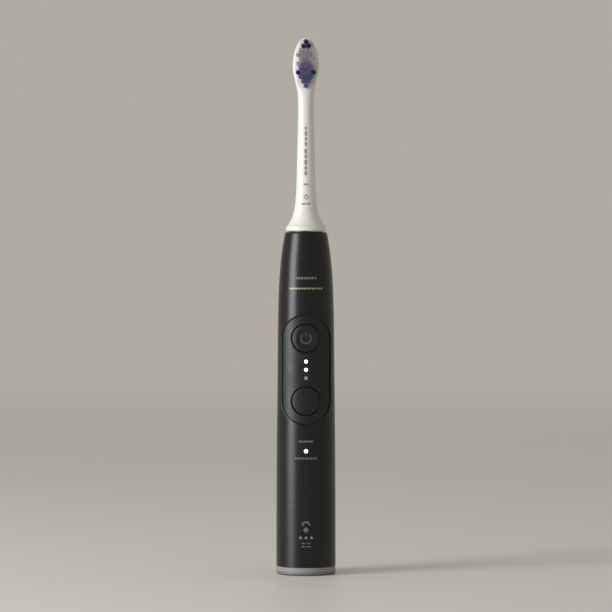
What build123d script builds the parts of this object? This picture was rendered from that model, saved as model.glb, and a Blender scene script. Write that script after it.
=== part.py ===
from build123d import *
import os
from math import sqrt

# Sonic toothbrush that stands upright on its own foot: a slim round handle with two
# buttons on its front, and a push-on brush head. The origin is the centre of the
# foot, on the surface that it stands on. +Z points up the handle, and the bristles,
# the buttons and the lights face -Y. All sizes are in millimetres.

# ---- Handle casing ----
HANDLE_HEIGHT = 162.0
FOOT_R = 14.1
WAIST_R = 12.98
SHOULDER_R = 12.06
TOP_R = 9.9
SHOULDER_HEIGHT = 29.6
BODY_BULGE = 0.28
BODY_STATIONS = 4
TOP_EDGE_ROUND = 0.9
WALL = 1.9
TOP_WALL = 2.2
TOP_LAND_INSET = 1.7

# ---- Foot and charging socket ----
FOOT_RING_HEIGHT = 3.8
FOOT_RING_INSET = 0.12
FOOT_EDGE_ROUND = 1.0
SEAM_GAP = 0.1
SOCKET_R = 4.6
SOCKET_DEPTH = 14.0
SOCKET_WALL = 1.0
SOCKET_LIFT = 0.3
SOCKET_FLANGE = 1.0
END_CAP_THICKNESS = 2.6
SEAL_SECTION_R = 0.65
COIL_FORMER_HEIGHT = 6.6
FORMER_WALL = 0.6
COIL_FORMER_R = 10.4

# ---- Front pad, buttons and lights ----
PAD_R = 11.0
PAD_DISH = 0.9
PAD_GAP = 0.05
PAD_RIM_ROUND = 0.5
POWER_FROM_TOP = 50.0
BUTTON_SPACING = 29.6
BUTTON_R = 6.5
BUTTON_GAP = 0.45
BUTTON_EDGE_ROUND = 0.4
BUTTON_HOLE_ROUND = 0.25
BUTTON_FLANGE = 1.1
BUTTON_FLANGE_WIDTH = 9.0
BUTTON_FLANGE_THICKNESS = 0.7
BUTTON_FLANGE_GAP = 0.35
BUTTON_TRAVEL = 0.5
PLUNGER_R = 1.3
POWER_DISH_DEPTH = 0.75
POWER_DISH_RIM_R = 5.3
INTENSITY_LIGHT_R = 0.85
INTENSITY_LIGHT_PITCH = 3.9
MODE_LIGHT_R = 0.95
MODE_LIGHT_BELOW_BUTTON = 23.5
BATTERY_LIGHT_R = 0.6
BATTERY_LIGHT_PITCH = 2.6
BATTERY_LIGHT_HEIGHT = 18.1
LIGHT_GAP = 0.05
GUIDE_THICKNESS = 1.0
GUIDE_MARGIN = 0.7

# ---- Chassis, battery and circuit board ----
CHASSIS_GAP = 0.2
CHASSIS_WALL = 1.0
BULKHEAD = 1.2
BATTERY_R = 7.0
BATTERY_LENGTH = 50.0
BATTERY_CLEARANCE = 0.4
FOAM_THICKNESS = 0.8
TAB_THICKNESS = 0.2
TAB_WIDTH = 3.0
BOARD_DEPTH = 3.9
BOARD_THICKNESS = 1.0
BOARD_MARGIN = 0.25
BOARD_ABOVE_BUTTON = 10.0
SCREW_R = 0.8
SCREW_HEAD_R = 1.6
SCREW_HEAD_HEIGHT = 0.9
SCREW_LENGTH = 3.4
DOME_R = 2.5
DOME_PRESSED_HEIGHT = 0.25
DOME_GAP = 0.05
LED_SIZE = 1.6
LED_HEIGHT = 0.7
CHIP_HEIGHT = 0.9
CONTROLLER_SIZE = 5.0
CHARGER_CHIP_SIZE = 3.2

# ---- Sonic drive ----
SHAFT_R = 1.9
SHAFT_STICKS_OUT = 24.0
SHAFT_FLAT_DEPTH = 0.5
SHAFT_FLAT_LENGTH = 13.0
RUNNING_GAP = 0.05
DRIVE_FROM_TOP = 79.0
BEARING_R = 3.6
BEARING_LENGTH = 5.0
FRAME_PLATE = 3.0
FRAME_RAIL_WIDTH = 5.6
FRAME_RAIL_THICKNESS = 1.0
FRAME_TOP_FROM_TOP = 19.1
ROTOR_R = 5.0
ROTOR_HUB_R = 3.0
ROTOR_LENGTH = 20.0
MAGNET_LENGTH = 18.0
MAGNET_SPLIT = 3.6
AIR_GAP = 0.4
STATOR_HALF_DEPTH = 3.6
STATOR_RAIL_GAP = 0.37
YOKE_THICKNESS = 3.4
DRIVE_COIL_HALF_LENGTH = 4.6
COIL_BOARD_GAP = 0.33
COUNTERWEIGHT_HEIGHT = 3.0
DRIVE_SPACE = 0.6
SPRING_LENGTH = 20.0
SPRING_THICKNESS = 0.5
SPRING_WIDTH = 2.8
SPRING_RADIUS = 3.4
SPRING_MOUNT_HEIGHT = 4.0
DAMPER_HEIGHT = 3.0
DAMPER_WIDTH = 4.2
SEAL_NECK_R = 3.4
SEAL_FLANGE_R = 5.4
SEAL_FLANGE_HEIGHT = 1.1

# ---- Brush head ----
HEAD_GAP = 0.5
HEAD_RUNNING_GAP = 0.15
COLLAR_HEIGHT = 2.5
COLLAR_R = 9.5
COLLAR_TOP_R = 9.3
COLLAR_BORE_R = 6.4
NECK_BASE_R = 8.9
FLARE_LOW_R = 6.5
FLARE_LOW_HEIGHT = 7.2
FLARE_MIDDLE_R = 5.0
FLARE_MIDDLE_HEIGHT = 14.5
FLARE_HIGH_R = 4.4
FLARE_HIGH_HEIGHT = 28.5
NECK_R = 3.75
NECK_LENGTH = 62.0
SLEEVE_R = 3.3
SLEEVE_LENGTH = 24.0
SLEEVE_FLANGE_R = 6.2
SLEEVE_FLANGE_HEIGHT = 1.2
CLIP_HEIGHT = 2.4
CLIP_THICKNESS = 0.6
CLIP_FROM_TOP = 9.0
PADDLE_HALF_WIDTH = 6.3
PADDLE_HALF_LENGTH = 12.6
PADDLE_CENTRE = 79.4
PADDLE_FRONT = 2.2
PADDLE_BACK = 2.6
PADDLE_BACK_ROUND = 1.6
PADDLE_FRONT_ROUND = 0.5
PLATE_RIM = 1.0
PLATE_THICKNESS = 0.9
PLATE_GAP = 0.03
TUFT_R = 0.98
TUFT_EDGE_ROUND = 0.3
TUFT_LENGTH = 9.2
TUFT_PITCH = 2.45
TUFT_ROW_PITCH = 2.08
TUFT_ROWS = 5
TUFT_RIM = 0.9

# ---- Sizes and places that follow ----
WAIST_Z = HANDLE_HEIGHT - SHOULDER_HEIGHT
CASING_BOTTOM = FOOT_RING_HEIGHT + SEAM_GAP
CAVITY_R = min(FOOT_R, WAIST_R) - WALL
POWER_Z = HANDLE_HEIGHT - POWER_FROM_TOP
MODE_Z = POWER_Z - BUTTON_SPACING
PAD_Z = (POWER_Z + MODE_Z) / 2
MODE_LIGHT_Z = MODE_Z - MODE_LIGHT_BELOW_BUTTON
BUTTON_HOLE_R = BUTTON_R + BUTTON_GAP
DOME_HEIGHT = BUTTON_TRAVEL + DOME_PRESSED_HEIGHT
TOP_LAND_R = TOP_R - TOP_LAND_INSET
TOP_LAND_Z = HANDLE_HEIGHT + HEAD_GAP - HEAD_RUNNING_GAP

SOCKET_OUTER_R = SOCKET_R + SOCKET_WALL
SOCKET_TOP = SOCKET_LIFT + SOCKET_DEPTH + SOCKET_WALL
END_CAP_TOP = CASING_BOTTOM + END_CAP_THICKNESS
FORMER_BOTTOM = END_CAP_TOP + SEAM_GAP
FORMER_TOP = FORMER_BOTTOM + COIL_FORMER_HEIGHT

CHASSIS_R = CAVITY_R - CHASSIS_GAP
CHASSIS_INNER_R = CHASSIS_R - CHASSIS_WALL
CHASSIS_BOTTOM = SOCKET_TOP + SEAM_GAP
BATTERY_Y = CHASSIS_INNER_R - BATTERY_R - BATTERY_CLEARANCE
BATTERY_BOTTOM = CHASSIS_BOTTOM + BULKHEAD + FOAM_THICKNESS + TAB_THICKNESS
BATTERY_TOP = BATTERY_BOTTOM + BATTERY_LENGTH
BULKHEAD_Z = BATTERY_TOP + TAB_THICKNESS + FOAM_THICKNESS
BOARD_FRONT = CAVITY_R - BOARD_DEPTH
BOARD_BACK = BOARD_FRONT - BOARD_THICKNESS
BOARD_BOTTOM = max(FORMER_TOP, SOCKET_TOP) + 4 * SEAM_GAP
BOARD_TOP = POWER_Z + BOARD_ABOVE_BUTTON
BOARD_HALF_WIDTH = sqrt(CAVITY_R**2 - BOARD_FRONT**2) - BOARD_MARGIN
BOARD_SCREW_LOW = BULKHEAD_Z + SCREW_HEAD_R + SEAM_GAP
BOARD_SCREW_HIGH = BOARD_TOP - SCREW_HEAD_R - SEAM_GAP

DRIVE_BOTTOM = HANDLE_HEIGHT - DRIVE_FROM_TOP
FRAME_TOP = HANDLE_HEIGHT - FRAME_TOP_FROM_TOP
RAIL_OUT = sqrt((CHASSIS_INNER_R - CHASSIS_GAP) ** 2 - (FRAME_RAIL_WIDTH / 2) ** 2)
RAIL_IN = RAIL_OUT - FRAME_RAIL_THICKNESS
SHAFT_BORE_R = SHAFT_R + RUNNING_GAP
REAR_BEARING_TOP = DRIVE_BOTTOM + BEARING_LENGTH
COUNTERWEIGHT_BOTTOM = REAR_BEARING_TOP + DRIVE_SPACE
ROTOR_BOTTOM = COUNTERWEIGHT_BOTTOM + COUNTERWEIGHT_HEIGHT
ROTOR_TOP = ROTOR_BOTTOM + ROTOR_LENGTH
MAGNET_BOTTOM = ROTOR_BOTTOM + (ROTOR_LENGTH - MAGNET_LENGTH) / 2
SPRING_TOP = ROTOR_TOP + SPRING_LENGTH
POLE_R = ROTOR_R + AIR_GAP
ARM_OUT = RAIL_IN - STATOR_RAIL_GAP
FORMER_GAP = LIGHT_GAP
COIL_TUBE_HALF_DEPTH = STATOR_HALF_DEPTH + FORMER_GAP + FORMER_WALL
COIL_TUBE_HALF_HEIGHT = YOKE_THICKNESS / 2 + FORMER_GAP + FORMER_WALL
DRIVE_COIL_DEPTH = BOARD_BACK - COIL_BOARD_GAP - COIL_TUBE_HALF_DEPTH
YOKE_TOP = DRIVE_BOTTOM - DRIVE_COIL_DEPTH - FORMER_WALL - 2 * SEAM_GAP
YOKE_BOTTOM = YOKE_TOP - YOKE_THICKNESS
SHAFT_TOP = HANDLE_HEIGHT + SHAFT_STICKS_OUT

COLLAR_BOTTOM = HANDLE_HEIGHT + HEAD_GAP
NECK_BOTTOM = COLLAR_BOTTOM + COLLAR_HEIGHT
NECK_TOP = HANDLE_HEIGHT + NECK_LENGTH
SLEEVE_BOTTOM = COLLAR_BOTTOM + 2 * SEAM_GAP
SLEEVE_TOP = SLEEVE_BOTTOM + SLEEVE_LENGTH
CLIP_Z = SLEEVE_TOP - CLIP_FROM_TOP
PADDLE_Z = HANDLE_HEIGHT + PADDLE_CENTRE
BEYOND = 2 * FOOT_R


def casing_radius(height):
    """Outer radius of the casing's gently bulging body at a height below the waist."""
    along = (height - CASING_BOTTOM) / (WAIST_Z - CASING_BOTTOM)
    return FOOT_R + (WAIST_R - FOOT_R) * along + 4 * BODY_BULGE * along * (1 - along)


def casing_half_section(inset, top):
    """Half section of the casing's outline, moved in by inset, from the seam up to top."""
    rise = (WAIST_Z - CASING_BOTTOM) / BODY_STATIONS
    heights = [CASING_BOTTOM + rise * step for step in range(BODY_STATIONS + 1)]
    stations = [(casing_radius(height) - inset, height) for height in heights]
    stations.append((SHOULDER_R - inset, HANDLE_HEIGHT - SHOULDER_HEIGHT / 2))
    stations.append((TOP_R - inset, top))
    with BuildSketch(Plane.XZ) as half_section:
        with BuildLine():
            Line((0, CASING_BOTTOM), stations[0])
            Spline(stations)
            Polyline(stations[-1], (0, top), (0, CASING_BOTTOM))
        make_face()
    return half_section.sketch


def front_plane(distance=0.0):
    """Plane that faces the front, at a distance in front of the axis. Its x is X and its y is Z."""
    return Plane.XZ.offset(distance)


def save(piece, name):
    """Label a finished piece and write it as its own STEP file."""
    piece.part.label = name
    export_step(piece.part, f"parts/{name}.step")


os.makedirs("parts", exist_ok=True)

# ======== Shared outlines, used only to trim other pieces ========

with BuildPart() as casing_form:
    revolve(casing_half_section(0, HANDLE_HEIGHT), axis=Axis.Z)
    fillet(casing_form.edges().filter_by(GeomType.CIRCLE).group_by(Axis.Z)[-1], TOP_EDGE_ROUND)

with BuildPart() as cavity_form:
    revolve(casing_half_section(WALL, HANDLE_HEIGHT - TOP_WALL), axis=Axis.Z)

# The pad's surface is a flatter cylinder than the casing. It meets the casing at the
# pad's sides, lies PAD_DISH below it along the middle, and follows the casing's taper.
PAD_CASING_R = casing_radius(PAD_Z)
PAD_SIDE_Y = sqrt(PAD_CASING_R**2 - PAD_R**2)
PAD_MIDDLE_Y = PAD_CASING_R - PAD_DISH
PAD_SAGITTA = PAD_MIDDLE_Y - PAD_SIDE_Y
PAD_SURFACE_R = (PAD_R**2 + PAD_SAGITTA**2) / (2 * PAD_SAGITTA)
PAD_TAPER = (casing_radius(MODE_Z) - casing_radius(POWER_Z)) / BUTTON_SPACING
PAD_PLANE = Plane((0, PAD_SURFACE_R - PAD_MIDDLE_Y, PAD_Z), x_dir=(1, 0, 0), z_dir=(0, PAD_TAPER, 1))

with BuildPart() as pad_form:
    with BuildSketch(PAD_PLANE):
        Circle(PAD_SURFACE_R)
    extrude(amount=BUTTON_SPACING + PAD_R, both=True)

# A light's hole or pin that is drawn square to the casing's middle plane can be lost where
# it meets the curved faces, so each one is drawn turned.
LIGHT_TURN = 45
INTENSITY_LIGHTS = [(0, PAD_Z + step * INTENSITY_LIGHT_PITCH) for step in (-1, 0, 1)]
BATTERY_LIGHTS = [(step * BATTERY_LIGHT_PITCH, BATTERY_LIGHT_HEIGHT) for step in (-1, 0, 1)]
MODE_LIGHT = [(0, MODE_LIGHT_Z)]


def turned_places(lights):
    """A turned drawing place at each light."""
    return [Location((x, z, 0), (0, 0, LIGHT_TURN)) for x, z in lights]


# ======== Handle casing ========

with BuildPart() as handle_shell:
    add(casing_form.part)
    with BuildSketch(front_plane()):
        with Locations((0, PAD_Z)):
            SlotCenterToCenter(BUTTON_SPACING, 2 * PAD_R, rotation=90)
    extrude(amount=BEYOND, mode=Mode.SUBTRACT)
    recess_rim = handle_shell.edges().filter_by(GeomType.BSPLINE)
    fillet(recess_rim.filter_by_position(Axis.Y, -FOOT_R, -PAD_SIDE_Y / 2), PAD_RIM_ROUND)
    add(cavity_form.part, mode=Mode.SUBTRACT)
    # a low land on the top closes most of the gap below the brush head
    with BuildSketch(Plane.XY.offset(HANDLE_HEIGHT)):
        Circle(TOP_LAND_R)
    extrude(amount=TOP_LAND_Z - HANDLE_HEIGHT)
    with BuildSketch(Plane.XY.offset(TOP_LAND_Z)):
        Circle(SEAL_NECK_R)
    extrude(amount=-2 * TOP_WALL, mode=Mode.SUBTRACT)
    with BuildSketch(front_plane()):
        with Locations(*turned_places(MODE_LIGHT)):
            Circle(MODE_LIGHT_R + LIGHT_GAP)
        with Locations(*turned_places(BATTERY_LIGHTS)):
            Circle(BATTERY_LIGHT_R + LIGHT_GAP)
    extrude(amount=BEYOND, mode=Mode.SUBTRACT)
save(handle_shell, "handle_shell")

with BuildPart() as button_pad:
    with BuildSketch(front_plane()):
        with Locations((0, PAD_Z)):
            SlotCenterToCenter(BUTTON_SPACING, 2 * (PAD_R - PAD_GAP), rotation=90)
            with GridLocations(0, BUTTON_SPACING, 1, 2):
                Circle(BUTTON_HOLE_R, mode=Mode.SUBTRACT)
        with Locations(*turned_places(INTENSITY_LIGHTS)):
            Circle(INTENSITY_LIGHT_R + LIGHT_GAP, mode=Mode.SUBTRACT)
    extrude(amount=BEYOND)
    add(pad_form.part, mode=Mode.INTERSECT)
    hole_rims = button_pad.edges().filter_by(GeomType.BSPLINE).sort_by(SortBy.LENGTH)[-2:]
    fillet(hole_rims, BUTTON_HOLE_ROUND)
    add(cavity_form.part, mode=Mode.SUBTRACT)
save(button_pad, "button_pad")

with BuildPart() as foot_ring:
    with BuildSketch(Plane.XY):
        Circle(FOOT_R - FOOT_RING_INSET)
    extrude(amount=FOOT_RING_HEIGHT)
    fillet(foot_ring.edges().group_by(Axis.Z)[0], FOOT_EDGE_ROUND)
    with Locations(Plane.XY.rotated((180, 0, 0))):
        CounterBoreHole(
            SOCKET_OUTER_R + LIGHT_GAP,
            SOCKET_OUTER_R + SOCKET_FLANGE + LIGHT_GAP,
            SOCKET_LIFT + SOCKET_FLANGE + LIGHT_GAP,
            FOOT_RING_HEIGHT,
        )
save(foot_ring, "foot_ring")

with BuildPart() as charging_socket:
    with BuildSketch(Plane.XY.offset(SOCKET_LIFT)):
        Circle(SOCKET_OUTER_R + SOCKET_FLANGE)
    extrude(amount=SOCKET_FLANGE)
    with BuildSketch(Plane.XY.offset(SOCKET_LIFT)):
        Circle(SOCKET_OUTER_R)
    extrude(amount=SOCKET_TOP - SOCKET_LIFT)
    fillet(charging_socket.edges().group_by(Axis.Z)[-1], SOCKET_WALL / 2)
    with BuildSketch(Plane.XY.offset(SOCKET_LIFT)):
        Circle(SOCKET_R)
    extrude(amount=SOCKET_DEPTH, mode=Mode.SUBTRACT)
save(charging_socket, "charging_socket")

END_CAP_R = FOOT_R - WALL - SEAM_GAP
SEAL_GROOVE_R = END_CAP_R - 2 * SEAL_SECTION_R
SEAL_Z = CASING_BOTTOM + END_CAP_THICKNESS / 2

with BuildPart() as end_cap:
    with BuildSketch(Plane.XY.offset(CASING_BOTTOM)):
        Circle(END_CAP_R)
        Circle(SOCKET_OUTER_R + LIGHT_GAP, mode=Mode.SUBTRACT)
    extrude(amount=END_CAP_THICKNESS)
    with BuildSketch(Plane.XY.offset(SEAL_Z)):
        Circle(END_CAP_R)
        Circle(SEAL_GROOVE_R, mode=Mode.SUBTRACT)
    extrude(amount=SEAL_SECTION_R + LIGHT_GAP, both=True, mode=Mode.SUBTRACT)
save(end_cap, "end_cap")

with BuildPart() as end_seal:
    with Locations((0, 0, SEAL_Z)):
        Torus(SEAL_GROOVE_R + LIGHT_GAP + SEAL_SECTION_R, SEAL_SECTION_R)
save(end_seal, "end_seal")

# ======== Charging coil ========

FORMER_TUBE_R = SOCKET_OUTER_R + LIGHT_GAP + FORMER_WALL

with BuildPart() as charging_coil_former:
    with BuildSketch(Plane.XY.offset(FORMER_BOTTOM)):
        Circle(COIL_FORMER_R)
        Circle(SOCKET_OUTER_R + LIGHT_GAP, mode=Mode.SUBTRACT)
    extrude(amount=COIL_FORMER_HEIGHT)
    with BuildSketch(Plane.XY.offset(FORMER_BOTTOM + FORMER_WALL)):
        Circle(COIL_FORMER_R)
        Circle(FORMER_TUBE_R, mode=Mode.SUBTRACT)
    extrude(amount=COIL_FORMER_HEIGHT - 2 * FORMER_WALL, mode=Mode.SUBTRACT)
save(charging_coil_former, "charging_coil_former")

with BuildPart() as charging_coil:
    with BuildSketch(Plane.XY.offset(FORMER_BOTTOM + FORMER_WALL + LIGHT_GAP)):
        Circle(COIL_FORMER_R - FORMER_WALL)
        Circle(FORMER_TUBE_R + LIGHT_GAP, mode=Mode.SUBTRACT)
    extrude(amount=COIL_FORMER_HEIGHT - 2 * FORMER_WALL - 2 * LIGHT_GAP)
save(charging_coil, "charging_coil")

# ======== Chassis, battery and circuit board ========

BRIDGE_TOP = BOARD_TOP + SCREW_HEAD_R
BRIDGE_HEIGHT = 3 * SCREW_HEAD_R
BRIDGE_Z = BRIDGE_TOP - BRIDGE_HEIGHT / 2
CHASSIS_EDGE_X = sqrt(CHASSIS_INNER_R**2 - BOARD_BACK**2) + CHASSIS_WALL / 2
BOSS_WIDTH = 2 * SCREW_HEAD_R + CHASSIS_WALL

with BuildPart() as chassis:
    with BuildSketch(Plane.XY.offset(CHASSIS_BOTTOM)):
        Circle(CHASSIS_R)
        Circle(CHASSIS_INNER_R, mode=Mode.SUBTRACT)
    extrude(amount=BRIDGE_TOP - CHASSIS_BOTTOM)
    for floor_z in (CHASSIS_BOTTOM, BULKHEAD_Z):
        with BuildSketch(Plane.XY.offset(floor_z)):
            Circle(CHASSIS_R)
        extrude(amount=BULKHEAD)
    split(bisect_by=front_plane(BOARD_BACK), keep=Keep.BOTTOM)
    # the bridge in front of the drive and the boss on the bulkhead hold the board's screws
    with BuildSketch(front_plane(BOARD_BACK)):
        with Locations((0, BRIDGE_Z)):
            Rectangle(2 * CHASSIS_EDGE_X, BRIDGE_HEIGHT)
    extrude(amount=POLE_R - BOARD_BACK)
    with BuildSketch(front_plane(BOARD_BACK)):
        with Locations((0, BULKHEAD_Z)):
            Rectangle(BOSS_WIDTH, BOSS_WIDTH, align=(Align.CENTER, Align.MIN))
    extrude(amount=-SCREW_LENGTH)
    with BuildSketch(front_plane(BOARD_BACK)):
        with Locations((0, BOARD_SCREW_LOW), (0, BOARD_SCREW_HIGH)):
            Circle(SCREW_R)
    extrude(amount=-SCREW_LENGTH, mode=Mode.SUBTRACT)
save(chassis, "chassis")

with BuildPart() as battery_cell:
    with BuildSketch(Plane.XY.offset(BATTERY_BOTTOM)):
        with Locations((0, BATTERY_Y)):
            Circle(BATTERY_R)
    extrude(amount=BATTERY_LENGTH)
    fillet(battery_cell.edges().filter_by(GeomType.CIRCLE), TAB_THICKNESS)
save(battery_cell, "battery_cell")

with BuildPart() as battery_pads:
    for pad_z in (BATTERY_BOTTOM - TAB_THICKNESS - FOAM_THICKNESS, BATTERY_TOP + TAB_THICKNESS):
        with BuildSketch(Plane.XY.offset(pad_z)):
            with Locations((0, BATTERY_Y)):
                Circle(BATTERY_R - BATTERY_CLEARANCE)
        extrude(amount=FOAM_THICKNESS)
save(battery_pads, "battery_pads")

# each tab lies on one end of the cell and runs forward to the back of the board
TAB_LENGTH = BATTERY_Y + BATTERY_R / 2 + BOARD_BACK

with BuildPart() as battery_tabs:
    for tab_z in (BATTERY_BOTTOM - TAB_THICKNESS, BATTERY_TOP):
        with BuildSketch(Plane.XY.offset(tab_z)):
            with Locations((0, -BOARD_BACK)):
                Rectangle(TAB_WIDTH, TAB_LENGTH, align=(Align.CENTER, Align.MIN))
        extrude(amount=TAB_THICKNESS)
save(battery_tabs, "battery_tabs")

with BuildPart() as circuit_board:
    with BuildSketch(front_plane(BOARD_BACK)):
        with Locations((0, BOARD_BOTTOM)):
            Rectangle(2 * BOARD_HALF_WIDTH, BOARD_TOP - BOARD_BOTTOM, align=(Align.CENTER, Align.MIN))
        with Locations((0, BOARD_SCREW_LOW), (0, BOARD_SCREW_HIGH)):
            Circle(SCREW_R, mode=Mode.SUBTRACT)
    extrude(amount=BOARD_THICKNESS)
    fillet(circuit_board.edges().filter_by(Axis.Y).filter_by(GeomType.LINE), BOARD_THICKNESS)
save(circuit_board, "circuit_board")

with BuildPart() as board_screws:
    with BuildSketch(front_plane(BOARD_FRONT)):
        with Locations((0, BOARD_SCREW_LOW), (0, BOARD_SCREW_HIGH)):
            Circle(SCREW_HEAD_R)
    extrude(amount=SCREW_HEAD_HEIGHT)
    fillet(board_screws.edges().group_by(Axis.Y)[0], SCREW_HEAD_HEIGHT / 2)
    with BuildSketch(front_plane(BOARD_FRONT)):
        with Locations((0, BOARD_SCREW_LOW), (0, BOARD_SCREW_HIGH)):
            Circle(SCREW_R)
    extrude(amount=-SCREW_LENGTH)
save(board_screws, "board_screws")

with BuildPart() as board_leds:
    with BuildSketch(front_plane(BOARD_FRONT)):
        with Locations(*INTENSITY_LIGHTS, *MODE_LIGHT, *BATTERY_LIGHTS):
            Rectangle(LED_SIZE, LED_SIZE / 2)
    extrude(amount=LED_HEIGHT)
save(board_leds, "board_leds")

with BuildPart() as board_chips:
    with BuildSketch(front_plane(BOARD_FRONT)):
        with Locations((0, MODE_LIGHT_Z - 2 * CONTROLLER_SIZE)):
            Rectangle(CONTROLLER_SIZE, CONTROLLER_SIZE)
        with Locations((0, BATTERY_LIGHT_HEIGHT + 3 * CHARGER_CHIP_SIZE)):
            with GridLocations(2 * CHARGER_CHIP_SIZE, 0, 2, 1):
                Rectangle(CHARGER_CHIP_SIZE, CHARGER_CHIP_SIZE)
    extrude(amount=CHIP_HEIGHT)
save(board_chips, "board_chips")

# ======== Buttons and their switches ========


def build_switch_dome(height):
    """Snap dome on the board behind a button."""
    with BuildPart() as dome:
        with BuildSketch(front_plane(BOARD_FRONT)):
            with Locations((0, height)):
                Circle(DOME_R)
        extrude(amount=DOME_HEIGHT)
        fillet(dome.edges().group_by(Axis.Y)[0], DOME_HEIGHT / 2)
    return dome


def build_button(height, dish_depth):
    """Button cap that follows the pad's surface, with two retaining tabs and a plunger behind.

    A dish is cut by a cylinder that lies across: the surface falls away to both sides, so the rim is round.
    """
    tab_front_r = casing_radius(height) - WALL - BUTTON_FLANGE_GAP
    tab_back_r = tab_front_r - BUTTON_FLANGE_THICKNESS
    plunger_tip = BOARD_FRONT + DOME_HEIGHT + DOME_GAP
    with BuildPart() as cap:
        with BuildSketch(front_plane()):
            with Locations((0, height)):
                Circle(BUTTON_R)
        extrude(amount=BEYOND)
        add(pad_form.part, mode=Mode.INTERSECT)
        fillet(cap.edges().filter_by(GeomType.BSPLINE), BUTTON_EDGE_ROUND)
    with BuildPart() as button:
        with BuildSketch(front_plane()):
            with Locations((0, height)):
                Circle(BUTTON_R + BUTTON_FLANGE)
                Rectangle(BUTTON_FLANGE_WIDTH, BEYOND, mode=Mode.INTERSECT)
        extrude(amount=BEYOND)
        with BuildSketch(Plane.XY.offset(height)):
            Circle(tab_front_r)
        extrude(amount=2 * BUTTON_R, both=True, mode=Mode.INTERSECT)
        add(cap.part)
        with BuildSketch(Plane.XY.offset(height)):
            Circle(tab_back_r)
        extrude(amount=2 * BUTTON_R, both=True, mode=Mode.SUBTRACT)
        with BuildSketch(front_plane(plunger_tip)):
            with Locations((0, height)):
                Circle(PLUNGER_R)
        extrude(amount=tab_front_r - plunger_tip)
        if dish_depth:
            surface = PAD_MIDDLE_Y - PAD_TAPER * (height - PAD_Z)
            dish_r = (POWER_DISH_RIM_R**2 + dish_depth**2) / (2 * dish_depth)
            with Locations((0, dish_depth - surface - dish_r, height)):
                Cylinder(dish_r, BEYOND, rotation=(0, 90, 0), mode=Mode.SUBTRACT)
    return button


save(build_switch_dome(POWER_Z), "power_dome")
save(build_switch_dome(MODE_Z), "mode_dome")
save(build_button(POWER_Z, POWER_DISH_DEPTH), "power_button")
save(build_button(MODE_Z, 0), "mode_button")

# ======== Light guides ========

GUIDE_BACK = BOARD_FRONT + LED_HEIGHT + 2 * SEAM_GAP


def build_light_guide(lights, radius, surface):
    """Clear bar in front of the board's lights, with a pin that ends flush with the surface for each."""
    across = max(x for x, _ in lights) - min(x for x, _ in lights)
    along = max(z for _, z in lights) - min(z for _, z in lights)
    middle = (0, sum(z for _, z in lights) / len(lights))
    with BuildPart() as guide:
        with BuildSketch(front_plane(GUIDE_BACK)):
            with Locations(*turned_places(lights)):
                Circle(radius)
        extrude(amount=BEYOND)
        add(surface.part, mode=Mode.INTERSECT)
        with BuildSketch(front_plane(GUIDE_BACK)):
            with Locations(middle):
                width = across + 2 * (radius + GUIDE_MARGIN)
                height = along + 2 * (radius + GUIDE_MARGIN)
                RectangleRounded(width, height, GUIDE_MARGIN)
        extrude(amount=GUIDE_THICKNESS)
    return guide


save(build_light_guide(INTENSITY_LIGHTS, INTENSITY_LIGHT_R, pad_form), "intensity_light_guide")
save(build_light_guide(MODE_LIGHT, MODE_LIGHT_R, casing_form), "mode_light_guide")
save(build_light_guide(BATTERY_LIGHTS, BATTERY_LIGHT_R, casing_form), "battery_light_guide")

# ======== Drive: fixed pieces ========

FRAME_R = CHASSIS_INNER_R - CHASSIS_GAP
FRAME_TOP_BOTTOM = FRAME_TOP - FRAME_PLATE
ARM_IN = DRIVE_COIL_HALF_LENGTH + 2 * SEAM_GAP
ARM_MIDDLE = (ARM_IN + ARM_OUT) / 2
YOKE_Z = (YOKE_BOTTOM + YOKE_TOP) / 2

with BuildPart() as motor_frame:
    with BuildSketch(Plane.XY.offset(DRIVE_BOTTOM)):
        Circle(FRAME_R)
        with Locations((0, -BOARD_BACK + CHASSIS_GAP)):
            Rectangle(BEYOND, BEYOND, align=(Align.CENTER, Align.MAX), mode=Mode.SUBTRACT)
        with Locations((ARM_MIDDLE, 0), (-ARM_MIDDLE, 0)):
            slot_width = ARM_OUT - ARM_IN + 2 * SEAM_GAP
            slot_depth = 2 * (STATOR_HALF_DEPTH + SEAM_GAP)
            Rectangle(slot_width, slot_depth, mode=Mode.SUBTRACT)
    extrude(amount=FRAME_PLATE)
    with BuildSketch(Plane.XY.offset(FRAME_TOP_BOTTOM)):
        Circle(FRAME_R)
    extrude(amount=FRAME_PLATE)
    with BuildSketch(Plane.XY.offset(DRIVE_BOTTOM)):
        with GridLocations(RAIL_IN + RAIL_OUT, 0, 2, 1):
            Rectangle(FRAME_RAIL_THICKNESS, FRAME_RAIL_WIDTH)
    extrude(amount=FRAME_TOP - DRIVE_BOTTOM)
    with BuildSketch(Plane.XY.offset(DRIVE_BOTTOM)):
        Circle(BEARING_R)
    extrude(amount=FRAME_TOP - DRIVE_BOTTOM, mode=Mode.SUBTRACT)
save(motor_frame, "motor_frame")


def build_bearing(bottom):
    """Plain bush that the drive shaft turns in."""
    with BuildPart() as bearing:
        with BuildSketch(Plane.XY.offset(bottom)):
            Circle(BEARING_R)
            Circle(SHAFT_BORE_R, mode=Mode.SUBTRACT)
        extrude(amount=BEARING_LENGTH)
    return bearing


save(build_bearing(DRIVE_BOTTOM), "rear_bearing")
save(build_bearing(FRAME_TOP - (BEARING_LENGTH + FRAME_PLATE) / 2), "front_bearing")

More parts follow.
